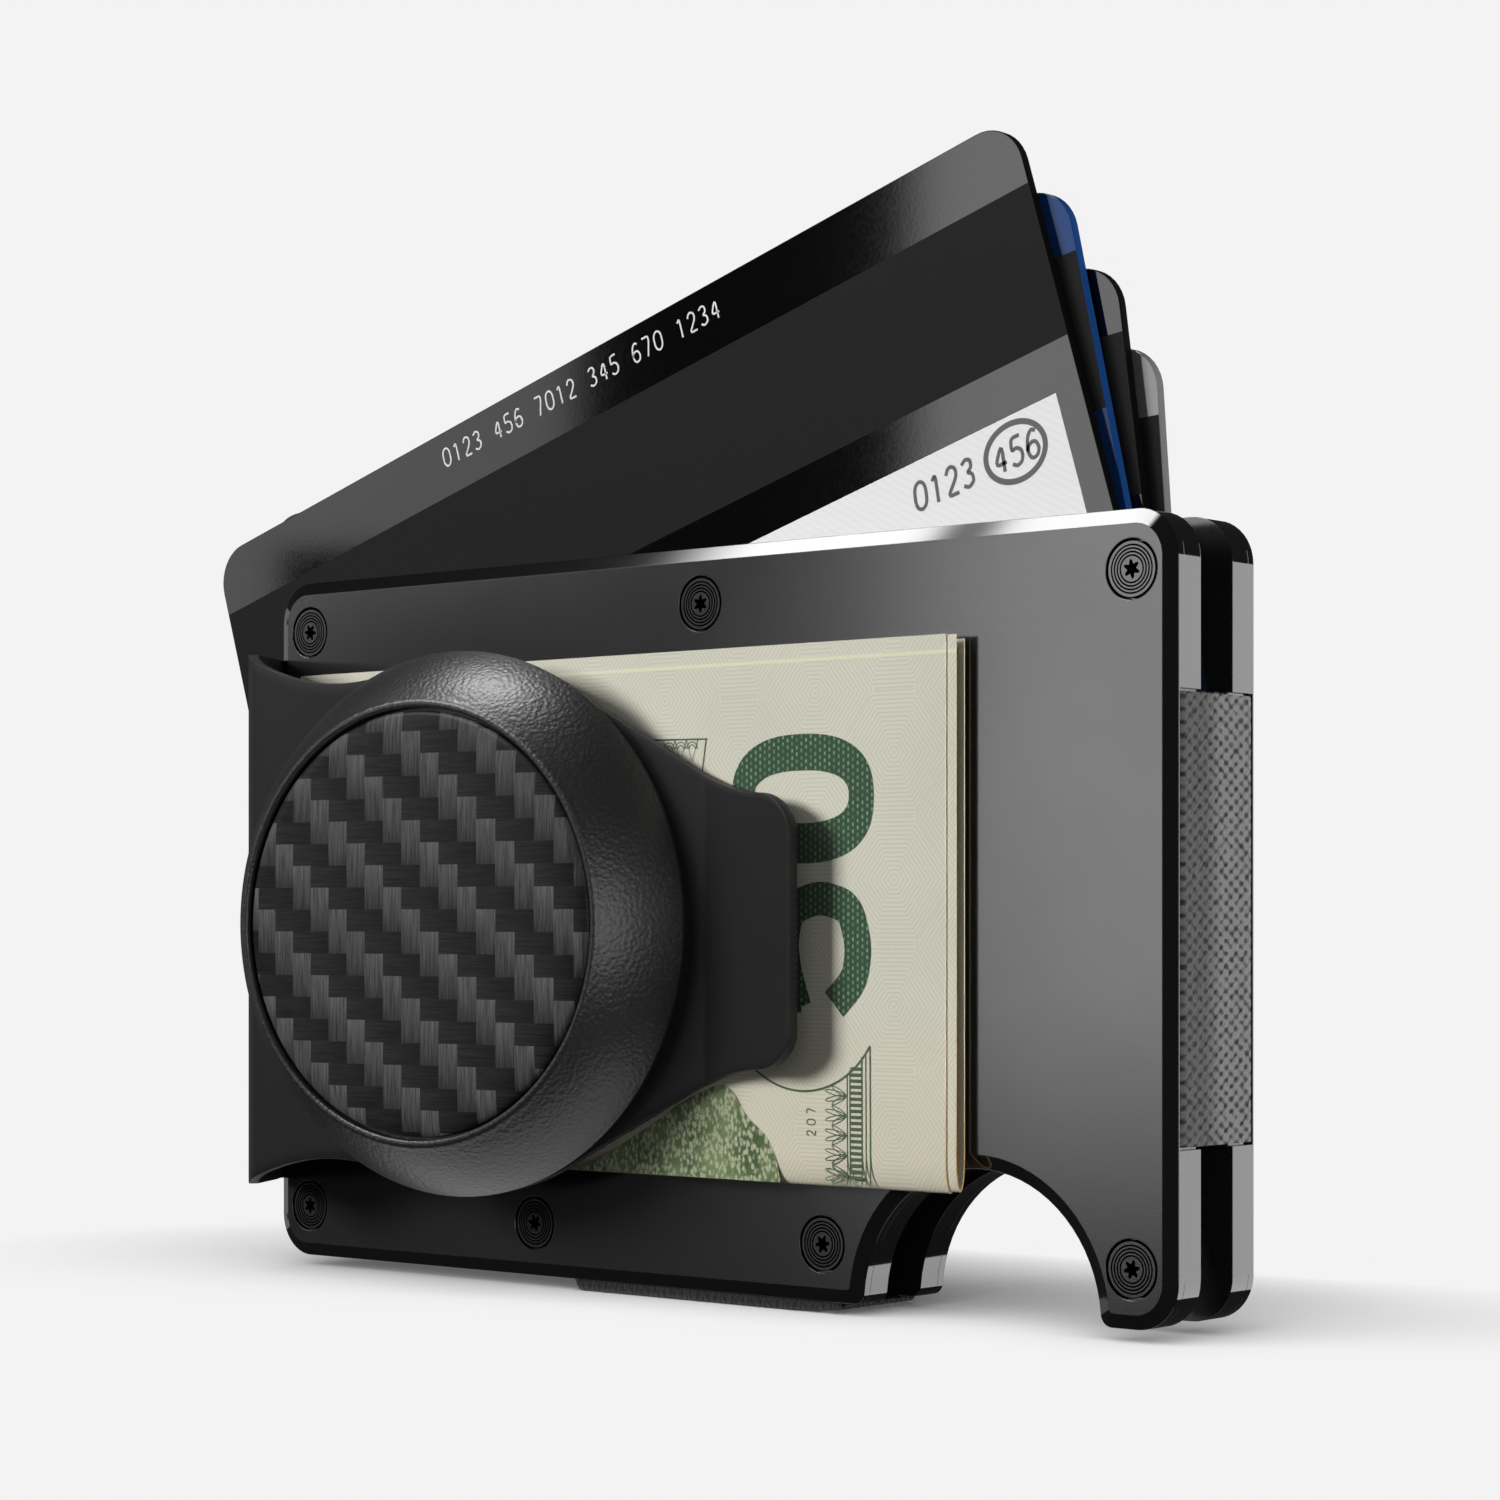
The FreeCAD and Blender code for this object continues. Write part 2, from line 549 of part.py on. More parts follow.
def tracker_contact():
    """Sprung battery contact: an arc-shaped strip beside the cell."""
    up = Vector(0, 0, 1)
    base = Vector(0, 0, TRACKER_LOW + TRACKER_FLOOR + PIECE_GAP)
    ring = Part.makeCylinder(CONTACT_OUTER, CELL_HEIGHT + PIECE_GAP, base, up, CONTACT_ARC)
    return on_case(ring.cut(Part.makeCylinder(CONTACT_INNER, TRACKER_TOP, Vector(0, 0, 0))))


# ---------------------------------------------------------------- cards and notes
def card(index):
    turn, x, z = CARD_FAN[index]
    y = CARD_FIRST_FACE_Y + CARD_PITCH * index
    slab = box(-CARD_LENGTH / 2, CARD_LENGTH / 2, 0, CARD_THICKNESS, -CARD_HEIGHT / 2, CARD_HEIGHT / 2)
    upright = [e for e in slab.Edges if abs(e.Vertexes[0].Y - e.Vertexes[-1].Y) > CARD_THICKNESS / 2]
    slab = slab.makeFillet(CARD_CORNER, upright)
    slab.rotate(Vector(0, 0, 0), Vector(0, -1, 0), turn)
    slab.translate(Vector(x, y, z))
    return slab


def card_pivot(index):
    """The point in the card's plane about which it swings from stowed to fanned."""
    turn, x, z = CARD_FAN[index]
    spin = complex(math.cos(math.radians(turn)), math.sin(math.radians(turn)))
    pivot = (spin * complex(CARD_STOWED_X, CARD_STOWED_Z) - complex(x, z)) / (spin - 1)
    return pivot.real, pivot.imag


def note(index):
    front = NOTE_FIRST_FACE_Y - NOTE_PITCH * index
    return box(NOTE_LEFT, NOTE_LEFT + NOTE_LENGTH, front - NOTE_THICKNESS, front,
               NOTE_BOTTOM, NOTE_BOTTOM + NOTE_HEIGHT)


# ---------------------------------------------------------------- write every piece
save("front_outer_plate", outer_plate())
save("front_inner_plate", front_inner_plate())
save("front_screws", frame_screws())
save("rear_outer_plate", mirrored(outer_plate()))
save("rear_inner_plate", mirrored(inner_plate()))
save("rear_screws", mirrored(frame_screws()))
save("side_elastic", side_elastic())
save("bottom_elastic", bottom_elastic())

save("clip_tab", clip_tab())
save("clip_leg", clip_leg())
save("carrier_cup", carrier_cup())
save("carrier_screws", carrier_screws())
save("carrier_cap", carrier_cap())
save("carbon_disc", plain_disc(DISC_RADIUS, CAP_FLOOR_HIGH, DISC_TOP))

cell_low = TRACKER_LOW + TRACKER_FLOOR + PIECE_GAP
board_low = cell_low + CELL_HEIGHT + BOARD_GAP
sounder_low = board_low + BOARD_HEIGHT
save("tracker_base", tracker_half(TRACKER_LOW, TRACKER_LOW + TRACKER_FLOOR, TRACKER_SEAM))
save("tracker_cover", tracker_half(TRACKER_TOP - TRACKER_FLOOR, TRACKER_TOP, TRACKER_SEAM + FIT))
save("tracker_cell", plain_disc(CELL_RADIUS, cell_low, cell_low + CELL_HEIGHT))
save("tracker_board", plain_disc(BOARD_RADIUS, board_low, board_low + BOARD_HEIGHT))
save("tracker_sounder", plain_disc(SOUNDER_RADIUS, sounder_low, sounder_low + SOUNDER_HEIGHT))
save("tracker_contact", tracker_contact())

for number in range(len(CARD_FAN)):
    save("card_%d" % (number + 1), card(number))
    print("  pivot", card_pivot(number))
for number in range(NOTE_COUNT):
    save("banknote_%d" % (number + 1), note(number))

flex, _ = flex_point()
print("flex line", flex, "case axis", on_flat(0, 0, CLIP_AXIS_Z), "outward", OUTWARD)
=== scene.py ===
import math
import random

import bmesh
import bpy
from mathutils import Matrix, Vector


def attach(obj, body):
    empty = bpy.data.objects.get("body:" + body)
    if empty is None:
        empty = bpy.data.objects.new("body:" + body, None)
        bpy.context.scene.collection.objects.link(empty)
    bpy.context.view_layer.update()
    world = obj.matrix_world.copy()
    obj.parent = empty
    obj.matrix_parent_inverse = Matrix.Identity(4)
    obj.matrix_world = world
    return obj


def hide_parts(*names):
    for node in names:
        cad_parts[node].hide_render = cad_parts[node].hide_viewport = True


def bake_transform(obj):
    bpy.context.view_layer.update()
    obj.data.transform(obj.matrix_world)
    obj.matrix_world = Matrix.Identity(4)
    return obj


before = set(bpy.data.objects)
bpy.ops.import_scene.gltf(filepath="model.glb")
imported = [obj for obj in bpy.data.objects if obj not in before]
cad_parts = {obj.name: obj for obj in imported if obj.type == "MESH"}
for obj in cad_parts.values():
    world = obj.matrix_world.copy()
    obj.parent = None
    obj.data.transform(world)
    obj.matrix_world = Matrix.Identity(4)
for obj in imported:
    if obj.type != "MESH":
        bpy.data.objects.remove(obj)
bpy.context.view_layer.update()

# ---------------------------------------------------------------- driving dimensions (mm)
MM = 0.001
PLATE_MIDDLE_Z = 27.9
FRONT_FACE_Y = -5.0
SCREW_PLACES = [(-39.4, 23.0), (2.1, 22.9), (39.6, 23.0),
                (-39.4, -23.0), (-14.5, -23.0), (13.5, -22.9), (39.6, -23.0)]

STRAP_THICKNESS = 0.45
STRAP_OUTSIDE_X = 43.1
STRAP_FACE_Y = 4.42
SIDE_STRAP_HALF = 14.9
SIDE_STRAP_TAIL_X = 36.6
BOTTOM_STRAP_LEFT = -11.0
BOTTOM_STRAP_RIGHT = 14.5
BOTTOM_STRAP_TAIL_RIGHT = 11.0
BOTTOM_STRAP_TAIL_TOP = 7.4
KNIT_WIDTH = 1.25              # one stitch across the strap
KNIT_HEIGHT = 0.84
KNIT_DEPTH = 0.16

CLIP_SHEET = 0.8
CLIP_TURN = math.radians(7.4)
CLIP_ORIGIN = Vector((-17.0, -10.2, 0.0))
CASE_AXIS_Z = 27.55
CLIP_WALL_LEAN = math.radians(54.2)
CLIP_CORNER_U = -21.35
CLIP_BENDS = (0.8, 2.2, 3.0)
CLIP_TAB_END_X = -36.0
CLIP_TAB_Y = -3.5
CLIP_CREASE_U = 21.8
CLIP_LIP_ANGLE = math.radians(17.4)
CLIP_LIP_LENGTH = 9.4
CLIP_DROOP = 0.0173
CLIP_WALL_HALF = 21.0
# the clip's half height as arcs through three points, (distance along the flat, half height)
CLIP_ARCS = [((-21.6, 20.8), (-13.6, 18.35), (-6.6, 19.1)),
             ((-6.6, 19.1), (2.0, 20.1), (10.9, 17.0)),
             ((19.6, 12.2), (23.4, 10.5), (27.4, 9.75)),
             ((27.4, 9.75), (29.9, 8.75), (31.0, 6.6))]

CARD_LENGTH, CARD_HEIGHT, CARD_THICKNESS, CARD_CORNER = 85.6, 53.98, 0.76, 3.18
CARD_PITCH = 0.95
CARD_FIRST_FACE_Y = -1.87
CARD_FAN = [(16.96, -5.44, 44.75), (12.75, -4.49, 42.51), (7.8, -3.88, 40.06), (4.2, -3.22, 36.85)]

NOTE_LEFT, NOTE_RIGHT = -38.9, 26.2
NOTE_BOTTOM, NOTE_TOP = 9.2, 47.3
NOTE_FACE_Y = -5.12
NOTE_FRONT_Y = -6.44
NOTE_SHEET = 0.12
NOTE_BEND = 2.3                # height of the fold's curve

ALONG = Vector((math.cos(CLIP_TURN), math.sin(CLIP_TURN), 0.0))
OUTWARD = Vector((math.sin(CLIP_TURN), -math.cos(CLIP_TURN), 0.0))
UP = Vector((0.0, 0.0, 1.0))


# ---------------------------------------------------------------- mesh helpers
def on_flat(u, w, z=0.0):
    """Point at u along the clip's flat, w out of its face and height z."""
    return CLIP_ORIGIN + ALONG * u + OUTWARD * w + UP * z


class Shape:
    """Points, faces and flat coordinates for one mesh, all in millimetres."""

    def __init__(self):
        self.points = []
        self.faces = []
        self.flats = []
        self.groups = []

    def skin(self, rows, wrap=False, flats=None, group=0):
        """Quads between rows of points; a row of one point makes a fan; group may be a list."""
        starts = []
        for number, row in enumerate(rows):
            starts.append(len(self.points))
            self.points += [Vector(p) for p in row]
            self.flats += list(flats[number]) if flats else [(p[0], p[2]) for p in row]
        for number in range(len(rows) - 1):
            strip_group = group[number] if isinstance(group, list) else group
            a, b = starts[number], starts[number + 1]
            size_a, size_b = len(rows[number]), len(rows[number + 1])
            count = max(size_a, size_b)
            for i in range(count if wrap else count - 1):
                j = (i + 1) % count
                face = [a + (i if size_a > 1 else 0), b + (i if size_b > 1 else 0)]
                if size_b > 1:
                    face.append(b + j)
                if size_a > 1:
                    face.append(a + j)
                self.faces.append(face)
                self.groups.append(strip_group)

    def slab(self, fronts, backs, group=0, flats=None):
        """A closed sheet between two matching grids of points."""
        loops = [list(f) + list(reversed(b)) for f, b in zip(fronts, backs)]
        loop_flats = [list(f) + list(reversed(f)) for f in flats] if flats else None
        self.skin(loops, wrap=True, flats=loop_flats, group=group)
        for end in (0, -1):
            end_flats = [flats[end], flats[end]] if flats else None
            self.skin([fronts[end], backs[end]], flats=end_flats, group=group)

    def make(self, name, materials, crisp=35.0, weld=0.0005, bevel=0.0):
        mesh = bpy.data.meshes.new(name)
        mesh.from_pydata([p * MM for p in self.points], [], self.faces)
        layer = mesh.uv_layers.new(name="UVMap")
        for loop in mesh.loops:
            layer.data[loop.index].uv = self.flats[loop.vertex_index]
        for polygon, group in zip(mesh.polygons, self.groups):
            polygon.material_index = group
        work = bmesh.new()
        work.from_mesh(mesh)
        bmesh.ops.remove_doubles(work, verts=work.verts, dist=weld * MM)
        bmesh.ops.recalc_face_normals(work, faces=work.faces)
        if bevel:
            sharp = [e for e in work.edges
                     if len(e.link_faces) == 2 and e.calc_face_angle(0.0) > math.radians(50)]
            bmesh.ops.bevel(work, geom=sharp, offset=bevel * MM, segments=2, profile=0.6,
                            affect="EDGES", clamp_overlap=True)
        work.to_mesh(mesh)
        work.free()
        mesh.shade_smooth()
        mesh.set_sharp_from_angle(angle=math.radians(crisp))
        for material in materials:
            mesh.materials.append(material)
        piece = bpy.data.objects.new(name, mesh)
        bpy.context.scene.collection.objects.link(piece)
        return piece


def settle(piece, body, slot, *nodes):
    """The piece rides on a body and stands for the CAD nodes; slot is not used."""
    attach(piece, body)
    if nodes:
        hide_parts(*nodes)
    return piece


def case_place(x, y, height):
    """Point of the round case: x along the flat, y up, height out of the flat."""
    return on_flat(x, height, CASE_AXIS_Z + y)


def turned(shape, profile, place, segments=128, lobes=None, group=0):
    """Rows of a turned solid from (radius, height); lobes gives six-fold ripple per row."""
    rows, flats = [], []
    for number, (radius, height) in enumerate(profile):
        ripple = lobes[number] if lobes else 0.0
        if radius == 0:
            rows.append([place(0.0, 0.0, height)])
            flats.append([(0.0, 0.0)])
            continue
        row, flat = [], []
        for step in range(segments):
            angle = 2 * math.pi * step / segments
            reach = radius + ripple * math.cos(6 * angle)
            x, y = reach * math.cos(angle), reach * math.sin(angle)
            row.append(place(x, y, height))
            flat.append((x, y))
        rows.append(row)
        flats.append(flat)
    shape.skin(rows, wrap=True, flats=flats, group=group)


def arc_profile(a, b, c, steps):
    """Points along the circle through three (radius, height) points, a to c."""
    centre, radius = circle_through(a, b, c)
    start = math.atan2(a[1] - centre[1], a[0] - centre[0])
    end = math.atan2(c[1] - centre[1], c[0] - centre[0])
    middle = math.atan2(b[1] - centre[1], b[0] - centre[0])
    turn = (end - start) % (2 * math.pi)
    if (middle - start) % (2 * math.pi) > turn:
        turn -= 2 * math.pi
    return [(centre[0] + radius * math.cos(start + turn * i / steps),
             centre[1] + radius * math.sin(start + turn * i / steps)) for i in range(steps + 1)]


def circle_through(a, b, c):
    ax, ay, bx, by, cx, cy = *a, *b, *c
    twice = 2 * (ax * (by - cy) + bx * (cy - ay) + cx * (ay - by))
    squares = [x * x + y * y for x, y in (a, b, c)]
    x = (squares[0] * (by - cy) + squares[1] * (cy - ay) + squares[2] * (ay - by)) / twice
    y = (squares[0] * (cx - bx) + squares[1] * (ax - cx) + squares[2] * (bx - ax)) / twice
    return (x, y), math.hypot(ax - x, ay - y)


# ---------------------------------------------------------------- material helpers
class Nodes:
    """A node tree, with short ways to add nodes to it and wire them."""

    def __init__(self, tree):
        self.tree = tree

    def plug(self, socket, value):
        if isinstance(value, bpy.types.NodeSocket):
            self.tree.links.new(value, socket)
        elif socket.type == "RGBA":
            socket.default_value = value if len(value) == 4 else (*value, 1.0)
        else:
            socket.default_value = value

    def node(self, kind, inputs=None, **settings):
        made = self.tree.nodes.new("ShaderNode" + kind)
        for key, value in settings.items():
            setattr(made, key, value)
        for key, value in (inputs or {}).items():
            self.plug(made.inputs[key], value)
        return made

    def math(self, operation, a, b=0.0, c=0.0):
        return self.node("Math", {0: a, 1: b, 2: c}, operation=operation).outputs[0]

    def times(self, a, b):
        return self.math("MULTIPLY", a, b)

    def plus(self, a, b):
        return self.math("ADD", a, b)

    def between(self, value, low, high, edge=0.0):
        """1 inside the range from low to high, and 0 outside, with an edge that fades."""
        inside = self.ramp(value, low - edge, low + edge, 0.0, 1.0) if edge else \
            self.math("GREATER_THAN", value, low)
        outside = self.ramp(value, high - edge, high + edge, 1.0, 0.0) if edge else \
            self.math("LESS_THAN", value, high)
        return self.times(inside, outside)

    def ramp(self, value, from_low, from_high, to_low, to_high):
        made = self.node("MapRange", {"Value": value, "From Min": from_low, "From Max": from_high,
                                      "To Min": to_low, "To Max": to_high})
        made.clamp = True
        return made.outputs["Result"]

    def camera_sees(self, unseen, seen, output):
        """The camera sees one shader, and every other ray meets the other one."""
        direct = self.node("LightPath").outputs["Is Camera Ray"]
        mixed = self.node("MixShader", {0: direct, 1: unseen.outputs[0], 2: seen.outputs[0]})
        self.plug(output.inputs["Surface"], mixed.outputs[0])


class Shader(Nodes):
    """One principled material and the nodes that feed it."""

    def __init__(self, name, colour, **sockets):
        self.material = bpy.data.materials.new(name)
        self.material.use_nodes = True
        super().__init__(self.material.node_tree)
        self.feed("Base Color", colour)
        for socket, value in sockets.items():
            self.feed(socket.replace("_", " "), value)

    def feed(self, socket, value):
        self.plug(self.tree.nodes["Principled BSDF"].inputs[socket], value)

    def finish(self, colour, rough=None, normal=None):
        """Feeds the patterns that are given and returns the material."""
        self.feed("Base Color", colour)
        if rough:
            self.feed("Roughness", rough)
        if normal:
            self.feed("Normal", normal)
        return self.material

    def flat(self):
        """The mesh's flat layout in millimetres, whole and as its two components."""
        whole = self.place("UV")
        parts = self.node("SeparateXYZ", {0: whole})
        return whole, parts.outputs["X"], parts.outputs["Y"]

    def split(self, vector, axis):
        return self.node("SeparateXYZ", {0: vector}).outputs[axis]

    def mix(self, factor, a, b):
        made = self.node("Mix", data_type="RGBA")
        self.plug(made.inputs[0], factor)
        self.plug(made.inputs[6], a)
        self.plug(made.inputs[7], b)
        return made.outputs[2]

    def place(self, kind="Object", scale=(1.0, 1.0, 1.0)):
        """Coordinates in millimetres: of the object, or the mesh's flat layout ("UV")."""
        source = self.node("TexCoord").outputs[kind]
        size = 1.0 if kind == "UV" else 1.0 / MM
        return self.node("Mapping", {"Vector": source, "Scale": [s * size for s in scale]}).outputs[0]

    def noise(self, scale, where, detail=2.0, rough=0.5):
        return self.node("TexNoise", {"Vector": where, "Scale": scale, "Detail": detail,
                                      "Roughness": rough}).outputs["Fac"]

    def bump(self, height, distance, strength=1.0, normal=None):
        """Adds relief of that many millimetres and returns the normal."""
        made = self.node("Bump", {"Height": height, "Distance": distance * MM, "Strength": strength})
        if normal is not None:
            self.plug(made.inputs["Normal"], normal)
        return made.outputs["Normal"]

    def rounded(self, radius):
        return self.node("Bevel", {"Radius": radius * MM}, samples=4).outputs["Normal"]


def grey(level):
    return (level, level, level)


# ---------------------------------------------------------------- materials
def anodised_plate():
    """Bead-blasted black anodised aluminium; its cut edges are smoother than its faces."""
    shader = Shader("anodised_plate", grey(0.018), Specular_IOR_Level=0.8)
    where = shader.place()
    grain = shader.noise(7.0, where, 3.0, 0.7)
    cloud = shader.noise(0.12, where, 2.0)
    facing = shader.node("NewGeometry").outputs["True Normal"]
    split = shader.split(facing, "Y")
    face = shader.math("GREATER_THAN", shader.math("ABSOLUTE", split), 0.97)
    rough_face = shader.plus(shader.ramp(grain, 0.3, 0.7, 0.125, 0.155),
                             shader.ramp(cloud, 0.3, 0.7, -0.01, 0.01))
    rough = shader.plus(shader.times(face, rough_face),
                        shader.times(shader.math("SUBTRACT", 1.0, face), 0.05))
    soft = shader.rounded(0.07)
    relief = shader.times(grain, face)
    blasted = shader.mix(shader.ramp(grain, 0.35, 0.65, 0.0, 1.0), grey(0.013), grey(0.023))
    return shader.finish(shader.mix(face, grey(0.005), blasted),
                         rough,
                         shader.bump(relief, 0.003, 1.0, soft))


SCREW_RINGS = 4
SCREW_RING_FIRST = 0.84
SCREW_RING_PITCH = 0.23


def knitted(name, dark, light, front_shade=1.0):
    """Knitted elastic with painted shade in its pits and fine fibres; its front half can carry painted shade.
    """
    shader = Shader(name, light, Roughness=0.85, Sheen_Weight=0.25, Sheen_Roughness=0.5,
                    Specular_IOR_Level=0.2)
    flat, flat_x, flat_y = shader.flat()
    across = shader.math("COSINE", shader.times(flat_x, 2 * math.pi / KNIT_WIDTH))
    up = shader.math("COSINE", shader.times(flat_y, 2 * math.pi / KNIT_HEIGHT))
    warped = shader.noise(1.6, flat, 3.0)
    # painted shade: the tone darkens in the stitch pits, where the knit sinks deepest
    pit = shader.plus(shader.times(across, up), shader.ramp(warped, 0.3, 0.7, -0.6, 0.6))
    stitch = shader.ramp(pit, -0.2, 0.95, 1.0, 0.0)
    strands = shader.node("TexWave", {"Vector": flat, "Scale": 1.15, "Distortion": 5.0, "Detail": 2.0,
                                      "Detail Scale": 1.5}, bands_direction="DIAGONAL").outputs["Fac"]
    fibre = shader.noise(7.0, flat, 4.0, 0.7)
    tone = shader.times(stitch, shader.ramp(fibre, 0.25, 0.75, 0.65, 1.0))
    # painted shade: the front half of the strap, towards -Y, is darkened by the last argument
    depth = shader.split(shader.place(), "Y")
    tone = shader.times(tone, shader.ramp(depth, -1.5, 0.5, front_shade, 1.0))
    relief = shader.plus(shader.times(strands, 0.5), fibre)
    return shader.finish(shader.mix(tone, dark, light), normal=shader.bump(relief, 0.09))


def black_clip():
    """Spring steel with a fine matt black coating."""
    shader = Shader("black_clip", grey(0.009), Specular_IOR_Level=0.25)
    where = shader.place()
    grain = shader.noise(9.0, where, 3.0, 0.6)
    cloud = shader.noise(0.15, where, 2.0)
    return shader.finish(shader.mix(cloud, grey(0.008), grey(0.011)),
                         shader.ramp(grain, 0.3, 0.7, 0.42, 0.54),
                         shader.bump(grain, 0.004, 1.0, shader.rounded(0.05)))


def case_shell():
    """Moulded black plastic with a fine leather grain."""
    shader = Shader("case_shell", grey(0.012), Specular_IOR_Level=0.5)
    where = shader.place()
    pebbles = shader.node("TexVoronoi", {"Vector": where, "Scale": 3.4, "Randomness": 1.0},
                          feature="SMOOTH_F1").outputs["Distance"]
    fine = shader.noise(8.0, where, 3.0)
    relief = shader.plus(pebbles, shader.times(fine, 0.3))
    return shader.finish(shader.mix(fine, grey(0.01), grey(0.015)),
                         shader.ramp(fine, 0.3, 0.7, 0.32, 0.40),
                         shader.bump(relief, 0.035))


TOW_ACROSS, TOW_UP = 1.73, 1.64     # width of one upright and one level carbon tow


def carbon_fibre():
    """Two-by-two twill under clear resin: painted sheen makes the upright tows light over dark level ones."""
    shader = Shader("carbon_fibre", grey(0.04), Coat_Weight=0.04, Coat_Roughness=0.2,
                    Specular_IOR_Level=0.08)
    flat, flat_x, flat_y = shader.flat()
    u = shader.math("DIVIDE", shader.math("SUBTRACT", flat_x, 2.37), TOW_ACROSS)
    v = shader.math("DIVIDE", shader.math("SUBTRACT", flat_y, 1.07), TOW_UP)
    column, row = shader.math("FLOOR", u), shader.math("FLOOR", v)
    step = shader.math("FLOORED_MODULO", shader.plus(column, row), 4.0)
    upright = shader.math("LESS_THAN", step, 1.5)
    along_up = shader.math("DIVIDE", shader.math("FLOORED_MODULO", shader.plus(v, column), 4.0), 2.0)
    level_run = shader.math("FLOORED_MODULO", shader.plus(u, row), 4.0)
    along_level = shader.math("DIVIDE", shader.math("SUBTRACT", level_run, 2.0), 2.0)
    threads_up = shader.noise(1.0, shader.place("UV", (6.0, 0.3, 1.0)), 3.0, 0.65)
    threads_level = shader.noise(1.0, shader.place("UV", (0.3, 6.0, 1.0)), 3.0, 0.65)
    # painted sheen: upright tows brighten along their run and level tows darken along theirs, streaked by
    # their threads
    light = shader.times(shader.ramp(along_up, 0.0, 1.0, 0.036, 0.105),
                        shader.ramp(threads_up, 0.36, 0.62, 0.5, 1.2))
    dark = shader.times(shader.ramp(along_level, 0.0, 1.0, 0.021, 0.009),
                       shader.ramp(threads_level, 0.35, 0.65, 0.6, 1.35))
    tone = shader.plus(shader.times(upright, light),
                       shader.times(shader.math("SUBTRACT", 1.0, upright), dark))
    relief = shader.plus(shader.times(upright, threads_up),
                         shader.times(shader.math("SUBTRACT", 1.0, upright), threads_level))
    return shader.finish(shader.node("CombineColor", {0: tone, 1: tone, 2: tone}).outputs[0],
                         shader.ramp(threads_up, 0.3, 0.7, 0.38, 0.5),
                         shader.bump(relief, 0.012))


STRIPE_TOP = CARD_HEIGHT / 2 - 5.05
STRIPE_BOTTOM = STRIPE_TOP - 11.2


def card_plastic(name, body, gloss=0.5):
    """Glossy laminated plastic with faint specks."""
    shader = Shader(name, body, Specular_IOR_Level=gloss)
    speck = shader.noise(4.0, shader.place(), 3.0)
    return shader.finish(shader.mix(speck, body, [c * 1.25 for c in body]),
                         shader.ramp(speck, 0.3, 0.7, 0.05, 0.07),
                         shader.bump(speck, 0.0006))


def card_tape():
    """Magnetic tape: flat, dark and without shine."""
    shader = Shader("card_tape", grey(0.009), Specular_IOR_Level=0.12)
    where = shader.place("UV", (0.3, 14.0, 1.0))
    brushed = shader.noise(1.0, where, 3.0)
    return shader.finish(shader.mix(brushed, grey(0.008), grey(0.0115)),
                         shader.ramp(brushed, 0.3, 0.7, 0.6, 0.7))


def signature_panel():
    """Matt white strip with a very faint slanted safety pattern."""
    shader = Shader("signature_panel", grey(0.9), Roughness=0.65, Specular_IOR_Level=0.2)
    fine = shader.node("TexWave", {"Vector": shader.place("UV"), "Scale": 0.9, "Distortion": 1.5},
                       bands_direction="DIAGONAL").outputs["Fac"]
    return shader.finish(shader.mix(shader.ramp(fine, 0.4, 0.6, 0.0, 1.0), grey(0.89), grey(0.92)))


def note_paper():
    """Cream cotton paper with a faint lattice of nested hexagons."""
    shader = Shader("note_paper", (0.7, 0.68, 0.56), Roughness=0.8, Specular_IOR_Level=0.15)
    flat, flat_x, flat_y = shader.flat()
    pitch_x, pitch_z = 14.0, 8.75
    nearest = None
    for shift_x, shift_z in ((0.0, 0.0), (pitch_x / 2, pitch_z / 2)):
        x = shader.math("SUBTRACT", shader.math("FLOORED_MODULO", shader.plus(
            flat_x, shift_x), pitch_x), pitch_x / 2)
        z = shader.math("SUBTRACT", shader.math("FLOORED_MODULO", shader.plus(
            flat_y, shift_z), pitch_z), pitch_z / 2)
        wide = shader.math("ABSOLUTE", x)
        tall = shader.math("ABSOLUTE", z)
        slope = shader.plus(shader.times(wide, 0.78), shader.times(tall, 0.62))
        ring = shader.math("MAXIMUM", tall, slope)
        nearest = ring if nearest is None else shader.math("MINIMUM", nearest, ring)
    lines = shader.math("SINE", shader.times(nearest, 2 * math.pi / 0.3))
    ink = shader.ramp(lines, 0.0, 0.8, 0.0, 1.0)
    fibre = shader.noise(3.0, flat, 4.0, 0.7)
    stain = shader.noise(0.09, flat, 2.0)
    paper = shader.mix(shader.ramp(stain, 0.3, 0.7, 0.0, 1.0), (0.70, 0.69, 0.58), (0.76, 0.74, 0.62))
    warm = shader.times(shader.ramp(flat_y, 24.0, 10.0, 0.0, 1.0), 0.45)
    paper = shader.mix(warm, paper, (0.74, 0.64, 0.47))
    paper = shader.mix(shader.times(ink, 0.3), paper, (0.42, 0.45, 0.34))
    border = shader.between(flat_y, 46.0, 46.25, 0.05)
    paper = shader.mix(shader.times(border, 0.7), paper, (0.86, 0.86, 0.62))
    paper = shader.mix(shader.ramp(fibre, 0.3, 0.7, 0.0, 0.12), paper, (0.5, 0.47, 0.36))
    facing = shader.node("NewGeometry").outputs["True Normal"]
    sideways = shader.split(facing, "X")
    cut_edge = shader.math("GREATER_THAN", shader.math("ABSOLUTE", sideways), 0.9)
    height = shader.split(shader.place(), "Z")
    # painted highlight: the cut edges are painted paler than the paper's face; towards the bottom they turn
    # gold-brown
    edge_tone = shader.mix(shader.ramp(height, 11.0, 19.0, 0.0, 1.0), (0.72, 0.47, 0.2), (0.95, 0.84, 0.58))
    relief = shader.plus(fibre, shader.times(ink, 0.15))
    return shader.finish(shader.mix(cut_edge, paper, edge_tone), normal=shader.bump(relief, 0.012))


